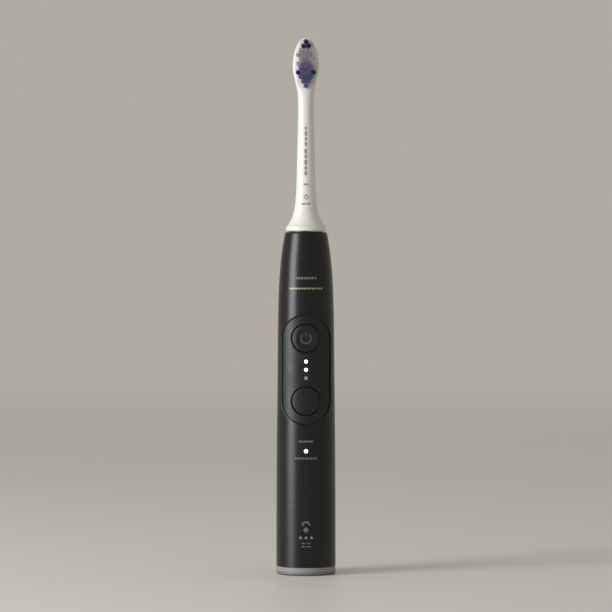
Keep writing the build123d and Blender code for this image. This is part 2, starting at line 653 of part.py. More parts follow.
with BuildPart() as stator_core:
    with BuildSketch(Plane.XY.offset(YOKE_BOTTOM)):
        Rectangle(2 * ARM_OUT, 2 * STATOR_HALF_DEPTH)
    extrude(amount=YOKE_THICKNESS)
    with BuildSketch(Plane.XY.offset(YOKE_BOTTOM)):
        with GridLocations(2 * ARM_MIDDLE, 0, 2, 1):
            Rectangle(ARM_OUT - ARM_IN, 2 * STATOR_HALF_DEPTH)
    extrude(amount=MAGNET_BOTTOM + MAGNET_LENGTH - YOKE_BOTTOM)
    with BuildSketch(Plane.XY.offset(YOKE_TOP)):
        Circle(POLE_R)
    extrude(amount=HANDLE_HEIGHT - YOKE_TOP, mode=Mode.SUBTRACT)
save(stator_core, "stator_core")

with BuildPart() as drive_coil_former:
    with BuildSketch(Plane.YZ.offset(-DRIVE_COIL_HALF_LENGTH)):
        with Locations((0, YOKE_Z)):
            Rectangle(
                2 * (COIL_TUBE_HALF_DEPTH + DRIVE_COIL_DEPTH),
                2 * (COIL_TUBE_HALF_HEIGHT + DRIVE_COIL_DEPTH),
            )
            Rectangle(
                2 * (STATOR_HALF_DEPTH + FORMER_GAP),
                YOKE_THICKNESS + 2 * FORMER_GAP,
                mode=Mode.SUBTRACT,
            )
    extrude(amount=2 * DRIVE_COIL_HALF_LENGTH)
    with BuildSketch(Plane.YZ.offset(FORMER_WALL - DRIVE_COIL_HALF_LENGTH)):
        with Locations((0, YOKE_Z)):
            Rectangle(BEYOND, BEYOND)
            Rectangle(2 * COIL_TUBE_HALF_DEPTH, 2 * COIL_TUBE_HALF_HEIGHT, mode=Mode.SUBTRACT)
    extrude(amount=2 * (DRIVE_COIL_HALF_LENGTH - FORMER_WALL), mode=Mode.SUBTRACT)
save(drive_coil_former, "drive_coil_former")

with BuildPart() as drive_coil:
    with BuildSketch(Plane.YZ.offset(FORMER_WALL + FORMER_GAP - DRIVE_COIL_HALF_LENGTH)):
        with Locations((0, YOKE_Z)):
            RectangleRounded(
                2 * (COIL_TUBE_HALF_DEPTH + DRIVE_COIL_DEPTH) - FORMER_WALL,
                2 * (COIL_TUBE_HALF_HEIGHT + DRIVE_COIL_DEPTH) - FORMER_WALL,
                FORMER_WALL,
            )
            Rectangle(
                2 * (COIL_TUBE_HALF_DEPTH + FORMER_GAP),
                2 * (COIL_TUBE_HALF_HEIGHT + FORMER_GAP),
                mode=Mode.SUBTRACT,
            )
    extrude(amount=2 * (DRIVE_COIL_HALF_LENGTH - FORMER_WALL - FORMER_GAP))
save(drive_coil, "drive_coil")

with BuildPart() as spring_mount:
    with BuildSketch(Plane.XY.offset(SPRING_TOP)):
        Rectangle(2 * (RAIL_IN - LIGHT_GAP), FRAME_RAIL_WIDTH)
        Circle(SHAFT_R + AIR_GAP, mode=Mode.SUBTRACT)
    extrude(amount=SPRING_MOUNT_HEIGHT)
save(spring_mount, "spring_mount")

with BuildPart() as damping_ring:
    with BuildSketch(Plane.XY.offset(FRAME_TOP + LIGHT_GAP)):
        Circle(FRAME_R)
        Circle(FRAME_R - DAMPER_WIDTH, mode=Mode.SUBTRACT)
    extrude(amount=DAMPER_HEIGHT)
save(damping_ring, "damping_ring")

SEAL_SHELF = HANDLE_HEIGHT - TOP_WALL - LIGHT_GAP
SEAL_NECK_HEIGHT = TOP_LAND_Z - LIGHT_GAP - SEAL_SHELF

with BuildPart() as shaft_seal:
    with BuildSketch(Plane.XY.offset(SEAL_SHELF - SEAL_FLANGE_HEIGHT)):
        Circle(SEAL_FLANGE_R)
    extrude(amount=SEAL_FLANGE_HEIGHT)
    with BuildSketch(Plane.XY.offset(SEAL_SHELF)):
        Circle(SEAL_NECK_R - LIGHT_GAP)
    extrude(amount=SEAL_NECK_HEIGHT)
    with BuildSketch(Plane.XY.offset(SEAL_SHELF - SEAL_FLANGE_HEIGHT)):
        Circle(SHAFT_BORE_R)
    extrude(amount=SEAL_FLANGE_HEIGHT + SEAL_NECK_HEIGHT, mode=Mode.SUBTRACT)
save(shaft_seal, "shaft_seal")

# ======== Drive: pieces that swing with the shaft ========

with BuildPart() as drive_shaft:
    with BuildSketch(Plane.XY.offset(DRIVE_BOTTOM)):
        Circle(SHAFT_R)
    extrude(amount=SHAFT_TOP - DRIVE_BOTTOM)
    chamfer(drive_shaft.edges().filter_by(GeomType.CIRCLE), SHAFT_FLAT_DEPTH / 2)
    with BuildSketch(Plane.XY.offset(SHAFT_TOP)):
        with Locations((0, SHAFT_FLAT_DEPTH - SHAFT_R)):
            Rectangle(2 * SHAFT_R, SHAFT_R, align=(Align.CENTER, Align.MAX))
    extrude(amount=-SHAFT_FLAT_LENGTH, mode=Mode.SUBTRACT)
save(drive_shaft, "drive_shaft")

with BuildPart() as counterweight:
    with BuildSketch(Plane.XY.offset(COUNTERWEIGHT_BOTTOM)):
        Circle(ROTOR_R)
        Circle(SHAFT_R, mode=Mode.SUBTRACT)
    extrude(amount=COUNTERWEIGHT_HEIGHT)
save(counterweight, "counterweight")

with BuildPart() as rotor_hub:
    with BuildSketch(Plane.XY.offset(ROTOR_BOTTOM)):
        Circle(ROTOR_HUB_R)
        Rectangle(2 * (SPRING_RADIUS + SPRING_THICKNESS), SPRING_WIDTH)
        Circle(SHAFT_R, mode=Mode.SUBTRACT)
    extrude(amount=ROTOR_LENGTH)
    with BuildSketch(Plane.XY.offset(MAGNET_BOTTOM)):
        Circle(ROTOR_R)
        Circle(ROTOR_HUB_R, mode=Mode.SUBTRACT)
    extrude(amount=MAGNET_LENGTH, mode=Mode.SUBTRACT)
save(rotor_hub, "rotor_hub")

with BuildPart() as rotor_magnets:
    with BuildSketch(Plane.XY.offset(MAGNET_BOTTOM)):
        Circle(ROTOR_R)
        Circle(ROTOR_HUB_R, mode=Mode.SUBTRACT)
        Rectangle(MAGNET_SPLIT, BEYOND, mode=Mode.SUBTRACT)
    extrude(amount=MAGNET_LENGTH)
save(rotor_magnets, "rotor_magnets")

with BuildPart() as torsion_springs:
    with BuildSketch(Plane.XY.offset(ROTOR_TOP)):
        with GridLocations(2 * SPRING_RADIUS, 0, 2, 1):
            Rectangle(SPRING_THICKNESS, SPRING_WIDTH)
    extrude(amount=SPRING_LENGTH)
save(torsion_springs, "torsion_springs")

# ======== Brush head ========

with BuildPart() as collar_ring:
    with BuildSketch(Plane.XZ):
        with BuildLine():
            Polyline(
                (COLLAR_BORE_R, COLLAR_BOTTOM),
                (COLLAR_R, COLLAR_BOTTOM),
                (COLLAR_TOP_R, NECK_BOTTOM),
                (COLLAR_BORE_R, NECK_BOTTOM),
                close=True,
            )
        make_face()
    revolve(axis=Axis.Z)
    fillet(collar_ring.edges().group_by(Axis.Z)[0].sort_by(SortBy.LENGTH)[-1], HEAD_GAP)
save(collar_ring, "collar_ring")

SLEEVE_FLAT_Y = SHAFT_R - SHAFT_FLAT_DEPTH + RUNNING_GAP
SLEEVE_FLAT_BOTTOM = SHAFT_TOP - SHAFT_FLAT_LENGTH + 2 * SEAM_GAP
CLIP_INNER_R = SLEEVE_R - CLIP_THICKNESS

with BuildPart() as coupling_sleeve:
    with BuildSketch(Plane.XY.offset(SLEEVE_BOTTOM)):
        Circle(SLEEVE_FLANGE_R)
    extrude(amount=SLEEVE_FLANGE_HEIGHT)
    with BuildSketch(Plane.XY.offset(SLEEVE_BOTTOM)):
        Circle(SLEEVE_R)
    extrude(amount=SLEEVE_LENGTH)
    with BuildSketch(Plane.XY.offset(CLIP_Z)):
        Circle(SLEEVE_R)
        Circle(CLIP_INNER_R, mode=Mode.SUBTRACT)
    extrude(amount=CLIP_HEIGHT, mode=Mode.SUBTRACT)
    with BuildSketch(Plane.XY.offset(SLEEVE_BOTTOM)):
        Circle(SHAFT_BORE_R)
    extrude(amount=SLEEVE_FLAT_BOTTOM - SLEEVE_BOTTOM, mode=Mode.SUBTRACT)
    with BuildSketch(Plane.XY.offset(SLEEVE_FLAT_BOTTOM)):
        Circle(SHAFT_BORE_R)
        with Locations((0, -SLEEVE_FLAT_Y)):
            Rectangle(2 * SLEEVE_R, SLEEVE_R, align=(Align.CENTER, Align.MAX), mode=Mode.SUBTRACT)
    extrude(amount=SLEEVE_LENGTH, mode=Mode.SUBTRACT)
save(coupling_sleeve, "coupling_sleeve")

with BuildPart() as retaining_clip:
    with BuildSketch(Plane.XY.offset(CLIP_Z + LIGHT_GAP)):
        Circle(SLEEVE_R)
        Circle(CLIP_INNER_R, mode=Mode.SUBTRACT)
        with Locations((0, SLEEVE_R)):
            Rectangle(SLEEVE_R, SLEEVE_R, mode=Mode.SUBTRACT)
    extrude(amount=CLIP_HEIGHT - 2 * LIGHT_GAP)
save(retaining_clip, "retaining_clip")

# The neck flares into the collar below and fades into the flat paddle above.
NECK_SEAM = NECK_BOTTOM + LIGHT_GAP
FLARE_POINTS = [
    (NECK_BASE_R, NECK_SEAM),
    (FLARE_LOW_R, HANDLE_HEIGHT + FLARE_LOW_HEIGHT),
    (FLARE_MIDDLE_R, HANDLE_HEIGHT + FLARE_MIDDLE_HEIGHT),
    (FLARE_HIGH_R, HANDLE_HEIGHT + FLARE_HIGH_HEIGHT),
    (NECK_R, NECK_TOP),
]
SLEEVE_BORE_R = SLEEVE_R + PLATE_GAP
BORE_TOP = max(SLEEVE_TOP, SHAFT_TOP) + HEAD_GAP
FLARE_HOLLOW_TOP = NECK_SEAM + 2 * (COLLAR_BORE_R - SLEEVE_BORE_R)
NECK_TIP = PADDLE_Z - PADDLE_BACK

with BuildPart() as neck_shell:
    with BuildSketch(Plane.XZ):
        with BuildLine():
            Line((0, NECK_SEAM), FLARE_POINTS[0])
            Spline(FLARE_POINTS, tangents=[(-1, 0.9), (0, 1)])
            Polyline(FLARE_POINTS[-1], (PADDLE_BACK, NECK_TIP), (0, NECK_TIP), (0, NECK_SEAM))
        make_face()
    revolve(axis=Axis.Z)
    with BuildSketch(front_plane(PADDLE_FRONT)):
        with Locations((0, PADDLE_Z)):
            Ellipse(PADDLE_HALF_WIDTH, PADDLE_HALF_LENGTH)
    extrude(amount=-PADDLE_FRONT - PADDLE_BACK)
    fillet(neck_shell.edges().group_by(Axis.Y)[-1], PADDLE_BACK_ROUND)
    # the front slopes from the round neck back to the paddle's flat face
    with BuildSketch(Plane.YZ):
        with BuildLine():
            Polyline(
                (-2 * NECK_R, NECK_TOP - NECK_R),
                (-NECK_R, NECK_TOP - NECK_R),
                (-PADDLE_FRONT, NECK_TOP + NECK_R),
                (-PADDLE_FRONT, PADDLE_Z + PADDLE_HALF_LENGTH),
                (-2 * NECK_R, PADDLE_Z + PADDLE_HALF_LENGTH),
                close=True,
            )
        make_face()
    extrude(amount=PADDLE_HALF_WIDTH, both=True, mode=Mode.SUBTRACT)
    with BuildSketch(front_plane(PADDLE_FRONT)):
        with Locations((0, PADDLE_Z)):
            Ellipse(
                PADDLE_HALF_WIDTH - PLATE_RIM + PLATE_GAP,
                PADDLE_HALF_LENGTH - PLATE_RIM + PLATE_GAP,
            )
    extrude(amount=-PLATE_THICKNESS, mode=Mode.SUBTRACT)
    with BuildSketch(Plane.XY.offset(NECK_SEAM)):
        Circle(COLLAR_BORE_R)
    with BuildSketch(Plane.XY.offset(FLARE_HOLLOW_TOP)):
        Circle(SLEEVE_BORE_R)
    loft(mode=Mode.SUBTRACT)
    with BuildSketch(Plane.XY.offset(FLARE_HOLLOW_TOP)):
        Circle(SLEEVE_BORE_R)
    extrude(amount=BORE_TOP - FLARE_HOLLOW_TOP, mode=Mode.SUBTRACT)
save(neck_shell, "neck_shell")

with BuildPart() as tuft_plate:
    with BuildSketch(front_plane(PADDLE_FRONT)):
        with Locations((0, PADDLE_Z)):
            Ellipse(PADDLE_HALF_WIDTH - PLATE_RIM, PADDLE_HALF_LENGTH - PLATE_RIM)
    extrude(amount=PLATE_GAP - PLATE_THICKNESS)
save(tuft_plate, "tuft_plate")

# Tufts stand in staggered rows of one to four, inside an ellipse on the plate.
TUFT_HALF_WIDTH = PADDLE_HALF_WIDTH - PLATE_RIM - TUFT_RIM
TUFT_HALF_LENGTH = PADDLE_HALF_LENGTH - PLATE_RIM - TUFT_RIM


def tuft_places():
    """Row number, side offset in half pitches and place of each tuft."""
    for row in range(-TUFT_ROWS, TUFT_ROWS + 1):
        for half_step in range(-3, 4):
            if (row + half_step) % 2 == 0:
                continue
            x = half_step * TUFT_PITCH / 2
            z = row * TUFT_ROW_PITCH
            if (x / TUFT_HALF_WIDTH) ** 2 + (z / TUFT_HALF_LENGTH) ** 2 <= 1:
                yield row, half_step, (x, PADDLE_Z + z)


def tuft_colour(row, half_step):
    """Blue at the neck end, navy flanks and tip, white flanks above, violet in the middle."""
    if row >= TUFT_ROWS - 1 or (row == -2 and abs(half_step) == 3):
        return "navy"
    if row < -2:
        return "blue"
    if row >= 0 and abs(half_step) >= 2:
        return "white"
    return "violet"


for colour in ("white", "violet", "navy", "blue"):
    places = [place for row, step, place in tuft_places() if tuft_colour(row, step) == colour]
    with BuildPart() as tufts:
        with BuildSketch(front_plane(PADDLE_FRONT)):
            with Locations(*places):
                Circle(TUFT_R)
        extrude(amount=TUFT_LENGTH)
        fillet(tufts.edges().group_by(Axis.Y)[0], TUFT_EDGE_ROUND)
    save(tufts, f"{colour}_tufts")
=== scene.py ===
import math
import random

import bpy
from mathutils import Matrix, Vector


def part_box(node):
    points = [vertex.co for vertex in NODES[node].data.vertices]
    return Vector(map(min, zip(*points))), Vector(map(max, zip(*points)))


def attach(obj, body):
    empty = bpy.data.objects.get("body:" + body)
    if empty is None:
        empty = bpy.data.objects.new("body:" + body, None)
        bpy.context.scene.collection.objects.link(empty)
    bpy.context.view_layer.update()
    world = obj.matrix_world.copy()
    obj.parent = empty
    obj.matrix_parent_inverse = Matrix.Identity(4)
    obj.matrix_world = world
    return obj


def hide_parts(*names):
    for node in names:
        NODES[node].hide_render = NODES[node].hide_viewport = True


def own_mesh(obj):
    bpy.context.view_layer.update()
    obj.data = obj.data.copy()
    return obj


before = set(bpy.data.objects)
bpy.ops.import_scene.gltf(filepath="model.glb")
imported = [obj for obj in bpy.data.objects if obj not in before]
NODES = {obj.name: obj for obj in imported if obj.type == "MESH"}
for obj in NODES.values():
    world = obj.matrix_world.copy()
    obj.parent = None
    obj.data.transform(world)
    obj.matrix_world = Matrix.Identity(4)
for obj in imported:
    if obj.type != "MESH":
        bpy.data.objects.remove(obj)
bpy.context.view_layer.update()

# Sonic toothbrush with its brush head on, standing on its own foot, in the CAD's frame:
# +Z is up the handle, and the buttons and bristles face -Y. The brush's sizes are in
# millimetres, times MM where they meet Blender. The studio's sizes are in metres.

MM = 0.001
TURN = 2 * math.pi
QUARTER_TURN = TURN / 4
TINY = 0.001 * MM


# ======== Shader maths ========

# shader sockets whose names aren't plain title case
SOCKETS = {"specular_ior_level": "Specular IOR Level"}
# sockets of a Mix node that mixes colours
MIX_SHARE, MIX_FIRST, MIX_SECOND, MIX_RESULT = 0, 6, 7, 2
# noise seldom leaves this range
NOISE_LOW = 0.3
NOISE_HIGH = 0.7


class Value:
    """One output of a shader node. Arithmetic on it adds Math nodes to its finish."""

    def __init__(self, finish, socket):
        self.finish = finish
        self.socket = socket

    def __add__(self, other):
        return self.finish.maths("ADD", self, other)

    def __mul__(self, other):
        return self.finish.maths("MULTIPLY", self, other)

    def __gt__(self, other):
        return self.finish.maths("GREATER_THAN", self, other)

    __radd__ = __add__
    __rmul__ = __mul__


class Finish:
    """A surface finish: a Principled shader and the pattern nodes that drive it."""

    def __init__(self, name, **settings):
        self.material = bpy.data.materials.new(name)
        self.material.use_nodes = True
        self.tree = self.material.node_tree
        self.tree.nodes.clear()
        self.shader = self.tree.nodes.new("ShaderNodeBsdfPrincipled")
        self.output = self.tree.nodes.new("ShaderNodeOutputMaterial")
        self.tree.links.new(self.shader.outputs["BSDF"], self.output.inputs["Surface"])
        self.place = self.node("ShaderNodeTexCoord", out="Object")
        self.drive(**settings)

    def plug(self, socket, value):
        if isinstance(value, Value):
            self.tree.links.new(value.socket, socket)
        elif socket.type == "RGBA" and len(value) == 3:
            socket.default_value = (*value, 1.0)
        else:
            socket.default_value = value

    def node(self, kind, settings=None, inputs=None, out=0):
        """Any node: its settings are made first, then its sockets are filled."""
        made = self.tree.nodes.new(kind)
        for key, setting in (settings or {}).items():
            setattr(made, key, setting)
        for key, value in (inputs or {}).items():
            self.plug(made.inputs[key], value)
        return Value(self, made.outputs[out])

    def maths(self, operation, first, second):
        return self.node("ShaderNodeMath", {"operation": operation}, {0: first, 1: second})

    def drive(self, **settings):
        """Set or link the shader's own sockets: base_color="..." fills Base Color."""
        for key, value in settings.items():
            name = SOCKETS.get(key, key.replace("_", " ").title())
            self.plug(self.shader.inputs[name], value)

    def along(self, axis):
        """How far a point lies along the object's X, Y or Z."""
        return self.node("ShaderNodeSeparateXYZ", None, {"Vector": self.place}, out=axis)

    def noise(self, per_metre, detail, stretch=(1, 1, 1)):
        place = self.node("ShaderNodeMapping", None, {"Vector": self.place, "Scale": stretch})
        inputs = {"Vector": place, "Scale": per_metre, "Detail": detail}
        return self.node("ShaderNodeTexNoise", None, inputs, out="Fac")

    def bands(self, per_metre, waver, detail):
        """Level bands, one above the other."""
        settings = {"wave_type": "BANDS", "bands_direction": "Z"}
        inputs = {
            "Vector": self.place, "Scale": per_metre, "Distortion": waver, "Detail": detail,
        }
        return self.node("ShaderNodeTexWave", settings, inputs, out="Fac")

    def range(self, value, low, high, start=0.0, end=1.0):
        """Value's stretch from low to high, laid over start to end."""
        inputs = {
            "Value": value, "From Min": low, "From Max": high, "To Min": start, "To Max": end,
        }
        return self.node("ShaderNodeMapRange", {"clamp": True}, inputs)

    def spread(self, noise, start, end):
        """A noise pattern stretched over start to end."""
        return self.range(noise, NOISE_LOW, NOISE_HIGH, start, end)

    def blend(self, amount, first, second, way="MIX"):
        """Colour that goes from first to second as amount goes from 0 to 1."""
        settings = {"data_type": "RGBA", "blend_type": way}
        inputs = {MIX_SHARE: amount, MIX_FIRST: first, MIX_SECOND: second}
        return self.node("ShaderNodeMix", settings, inputs, out=MIX_RESULT)

    def tint(self, colour, shade):
        """Colour made paler or darker by a shade that varies about white."""
        return self.blend(1.0, colour, shade, "MULTIPLY")

    def bump(self, height, depth, strength):
        inputs = {"Height": height, "Distance": depth, "Strength": strength}
        self.drive(normal=self.node("ShaderNodeBump", None, inputs))

    def fade_to_glow(self, share, colour):
        """Where share is 1, the surface is nothing but an even glow of that colour."""
        glow = self.node("ShaderNodeEmission", None, {"Color": colour})
        surface = Value(self, self.shader.outputs["BSDF"])
        mixed = self.node("ShaderNodeMixShader", None, {0: share, 1: surface, 2: glow})
        self.tree.links.new(mixed.socket, self.output.inputs["Surface"])


# ======== Finishes ========

COOL_SHEEN = (0.93, 0.97, 1.0)
# painted shade: the foot's colour darkens below these heights, towards the floor
FOOT_SHADE_UP_TO = 0.4
FOOT_UNSHADED_FROM = 2.4
# painted shade darkens the filaments from the tips towards the roots between these depths, and
# the violet ones pale between these heights
BRISTLE_UNSHADED_TIPS_Y = -11.4
BRISTLE_SHADED_ROOTS_Y = -3.2
PALE_TUFTS_FROM = 239.5
PALE_TUFTS_FULL = 244.5
# a light guide glows this deep behind its front end. Its faint part has this share of the
# glow, which grows from FAINT_EDGE below the part's upper end to FAINT_EDGE above it.
GLOW_DEPTH = 0.8
FAINT_SHARE = 0.08
FAINT_EDGE = 0.3
CELL_BAND_TOP = 28


def satin_casing():
    """Painted satin black: a fine even sparkle of grain, and faint handling marks."""
    finish = Finish("satin_black_casing", specular_ior_level=0.43, specular_tint=COOL_SHEEN)
    grain = finish.noise(5200, 3)
    handling = finish.noise(70, 4, (1, 1, 0.45))
    finish.drive(
        base_color=finish.blend(grain, (0.0022, 0.0025, 0.0031), (0.0045, 0.0049, 0.0056)),
        roughness=finish.range(handling, 0.3, 0.75, 0.26, 0.31) + grain * 0.03,
    )
    finish.bump(grain, 0.012 * MM, 0.5)
    return finish.material


def rubber_pad():
    """Soft-touch elastomer of the front pad and buttons, a little warmer than the casing."""
    finish = Finish("soft_black_pad", specular_ior_level=0.43, specular_tint=COOL_SHEEN)
    grain = finish.noise(3600, 4)
    wiped = finish.noise(150, 3)
    finish.drive(
        base_color=finish.blend(grain, (0.0034, 0.0037, 0.0036), (0.0066, 0.0070, 0.0066)),
        roughness=finish.spread(wiped, 0.34, 0.41) + grain * 0.04,
    )
    finish.bump(grain, 0.02 * MM, 0.6)
    return finish.material


def frosted_foot():
    """Grey frosted plastic with painted shade: darker and a little warmer towards the standing
    face, paler above.
    """
    finish = Finish("frosted_grey_foot", specular_ior_level=0.5)
    height = finish.range(finish.along("Z"), FOOT_SHADE_UP_TO * MM, FOOT_UNSHADED_FROM * MM)
    frost = finish.noise(3000, 4)
    # painted shade: the lower edge is darker and warmer than the foot's own grey above
    tone = finish.blend(height, (0.125, 0.106, 0.112), (0.265, 0.265, 0.275))
    speck = finish.blend(frost, (0.90, 0.90, 0.90), (1.08, 1.08, 1.08))
    finish.drive(
        base_color=finish.tint(tone, speck),
        roughness=finish.spread(frost, 0.42, 0.52),
    )
    finish.bump(frost, 0.02 * MM, 0.7)
    return finish.material


def white_plastic():
    """Moulded white plastic with flow marks along the neck and a very fine skin."""
    finish = Finish(
        "white_head_plastic",
        subsurface_weight=0.12,
        subsurface_radius=(0.8 * MM, 0.7 * MM, 0.6 * MM),
    )
    flow = finish.noise(90, 4, (1, 1, 0.35))
    skin = finish.noise(2400, 3)
    finish.drive(
        base_color=finish.blend(flow, (0.70, 0.70, 0.69), (0.76, 0.76, 0.752)),
        roughness=finish.range(flow, 0.35, 0.7, 0.27, 0.34) + skin * 0.05,
    )
    finish.bump(skin, 0.008 * MM, 0.5)
    return finish.material


def bristle(name, root, tip, upper_tip=None):
    """Nylon filaments: painted shade darkens them towards the root, and no two filaments match.

    upper_tip is the paler colour that the upper rows of a long group fade to.
    """
    finish = Finish(
        name,
        specular_ior_level=0.5,
        subsurface_weight=0.25,
        subsurface_radius=(0.8 * MM,) * 3,
    )
    # painted shade: the filaments get darker from the tip to the root, where the tufts shade
    # each other
    reach = finish.range(finish.along("Y"), BRISTLE_UNSHADED_TIPS_Y * MM, BRISTLE_SHADED_ROOTS_Y * MM)
    strand = finish.noise(4200, 1, (1, 0.02, 1))
    if upper_tip:
        height = finish.range(finish.along("Z"), PALE_TUFTS_FROM * MM, PALE_TUFTS_FULL * MM)
        tip = finish.blend(height, tip, upper_tip)
    tone = finish.blend(reach, tip, root)
    shade = finish.blend(strand, (0.74, 0.74, 0.77), (1.12, 1.12, 1.10))
    finish.drive(
        base_color=finish.tint(tone, shade),
        roughness=finish.spread(strand, 0.3, 0.45),
    )
    finish.bump(finish.noise(9000, 2, (1, 0.2, 1)), 0.006 * MM, 0.5)
    return finish.material


def printed_ink(name, colour, patchy):
    """Pad-printed ink: thin in places, with a slightly grainy edge to its sheen."""
    finish = Finish(name, specular_ior_level=0.4)
    thin = finish.noise(1600, 3)
    worn = tuple(part * patchy for part in colour)
    finish.drive(
        base_color=finish.blend(finish.range(thin, 0.35, 0.65), worn, colour),
        roughness=finish.spread(thin, 0.45, 0.6),
    )
    finish.bump(thin, 0.01 * MM, 0.5)
    return finish.material


def gold_ink():
    """Pale gold metallic ink of the lower front marking."""
    finish = Finish("pale_gold_ink", metallic=0.35)
    flake = finish.noise(3800, 4)
    finish.drive(
        base_color=finish.blend(flake, (0.24, 0.21, 0.14), (0.44, 0.39, 0.28)),
        roughness=finish.spread(flake, 0.38, 0.55),
    )
    finish.bump(flake, 0.01 * MM, 0.6)
    return finish.material


def light_guide(name, front_at, lit, strength, faint_below=None):
    """Clear guide that glows at its flush front end, front_at before the middle plane.

    faint_below is the height below which it hardly glows.
    """
    finish = Finish(
        name, roughness=0.25, emission_strength=strength, specular_ior_level=0.5
    )
    cloud = finish.noise(1200, 2)
    front = finish.range(
        finish.along("Y"), -front_at * MM, -(front_at - GLOW_DEPTH) * MM, 1.0, 0.0
    )
    share = front * finish.range(cloud, 0.2, 0.8, 0.85, 1.0)
    if faint_below:
        fade_from = (faint_below - FAINT_EDGE) * MM
        fade_to = (faint_below + FAINT_EDGE) * MM
        share = share * finish.range(finish.along("Z"), fade_from, fade_to, FAINT_SHARE, 1.0)
    finish.drive(
        base_color=finish.blend(cloud, (0.045, 0.048, 0.045), (0.075, 0.080, 0.075)),
        emission_color=finish.blend(share, (0.0, 0.0, 0.0), lit),
    )
    finish.bump(cloud, 0.01 * MM, 0.3)
    return finish.material


def moulded(name, low, high, dull, grain_per_metre=2600, depth=0.015):
    """Plain moulded plastic, rubber, foam or resin with its own grain."""
    finish = Finish(name)
    grain = finish.noise(grain_per_metre, 4)
    patch = finish.noise(160, 3)
    finish.drive(
        base_color=finish.blend(patch * 0.6 + grain * 0.4, low, high),
        roughness=finish.spread(grain, dull - 0.06, dull + 0.06),
    )
    finish.bump(grain, depth * MM, 0.7)
    return finish.material


def worked_metal(name, low, high, dull, stretch=(1, 1, 30)):
    """Turned, rolled or pressed metal: fine tool lines and a faint stain."""
    finish = Finish(name, metallic=1.0)
    lines = finish.noise(1500, 3, stretch)
    stain = finish.noise(220, 4)
    finish.drive(
        base_color=finish.blend(stain * 0.5 + lines * 0.5, low, high),
        roughness=finish.spread(lines, dull - 0.05, dull + 0.08),
    )
    finish.bump(lines, 0.008 * MM, 0.6)
    return finish.material


def wound_copper():
    """Enamelled copper wire, wound in close turns."""
    finish = Finish("wound_copper", metallic=1.0)
    turns = finish.bands(800.0, waver=0.3, detail=1.0)
    finish.drive(
        base_color=finish.blend(turns, (0.34, 0.09, 0.03), (0.80, 0.34, 0.15)),
        roughness=finish.range(turns, 0.0, 1.0, 0.42, 0.26),
    )
    finish.bump(turns, 0.06 * MM, 0.8)
    return finish.material


def stacked_laminations():
    """Stamped steel sheets pressed into one block."""
    finish = Finish("stacked_laminations", metallic=1.0)
    sheets = finish.bands(500.0, waver=0.1, detail=0.0)
    oil = finish.noise(300, 3)
    finish.drive(
        base_color=finish.blend(sheets, (0.10, 0.10, 0.11), (0.36, 0.36, 0.38)),
        roughness=finish.spread(oil, 0.34, 0.5),
    )
    finish.bump(sheets, 0.04 * MM, 0.7)
    return finish.material


def board_laminate():
    """Green solder mask over faint copper tracks."""
    finish = Finish("board_laminate", coat_weight=0.3)
    upright = finish.node(
        "ShaderNodeMapping", None, {"Vector": finish.place, "Rotation": (QUARTER_TURN, 0, 0)}
    )
    tracks = finish.node(
        "ShaderNodeTexBrick",
        {"offset": 0.5},
        {
            "Vector": upright,
            "Scale": 420.0,
            "Mortar Size": 0.06,
            "Color1": (0.0, 0.0, 0.0),
            "Color2": (0.1, 0.1, 0.1),
            "Mortar": (1.0, 1.0, 1.0),
        },
        out="Fac",
    )
    weave = finish.noise(2200, 3)
    copper = tracks * 0.8 + weave * 0.1
    finish.drive(
        base_color=finish.blend(copper, (0.008, 0.075, 0.030), (0.030, 0.190, 0.070)),
        roughness=finish.spread(weave, 0.30, 0.42),
    )
    finish.bump(tracks, 0.02 * MM, 0.6)
    return finish.material


def cell_sleeve():
    """Shrink sleeve of the battery cell, with a darker band round its lower end."""
    finish = Finish("cell_sleeve")
    crinkle = finish.noise(420, 4, (1, 1, 0.3))
    above_band = finish.along("Z") > CELL_BAND_TOP * MM
    tone = finish.blend(above_band, (0.02, 0.05, 0.12), (0.03, 0.20, 0.36))
    finish.drive(
        base_color=finish.blend(crinkle * 0.3, tone, (0.10, 0.32, 0.50)),
        roughness=finish.spread(crinkle, 0.25, 0.4),
    )
    finish.bump(crinkle, 0.05 * MM, 0.6)
    return finish.material


WHITE = white_plastic()
STEEL = worked_metal("ground_steel", (0.50, 0.51, 0.52), (0.68, 0.69, 0.70), dull=0.24)
GREY_INK = printed_ink("grey_ink", (0.20, 0.20, 0.205), 0.6)
DIM_INK = printed_ink("dim_grey_ink", (0.068, 0.074, 0.062), 0.7)
NECK_INK = printed_ink("neck_grey_ink", (0.30, 0.30, 0.30), 0.8)
GOLD = gold_ink()

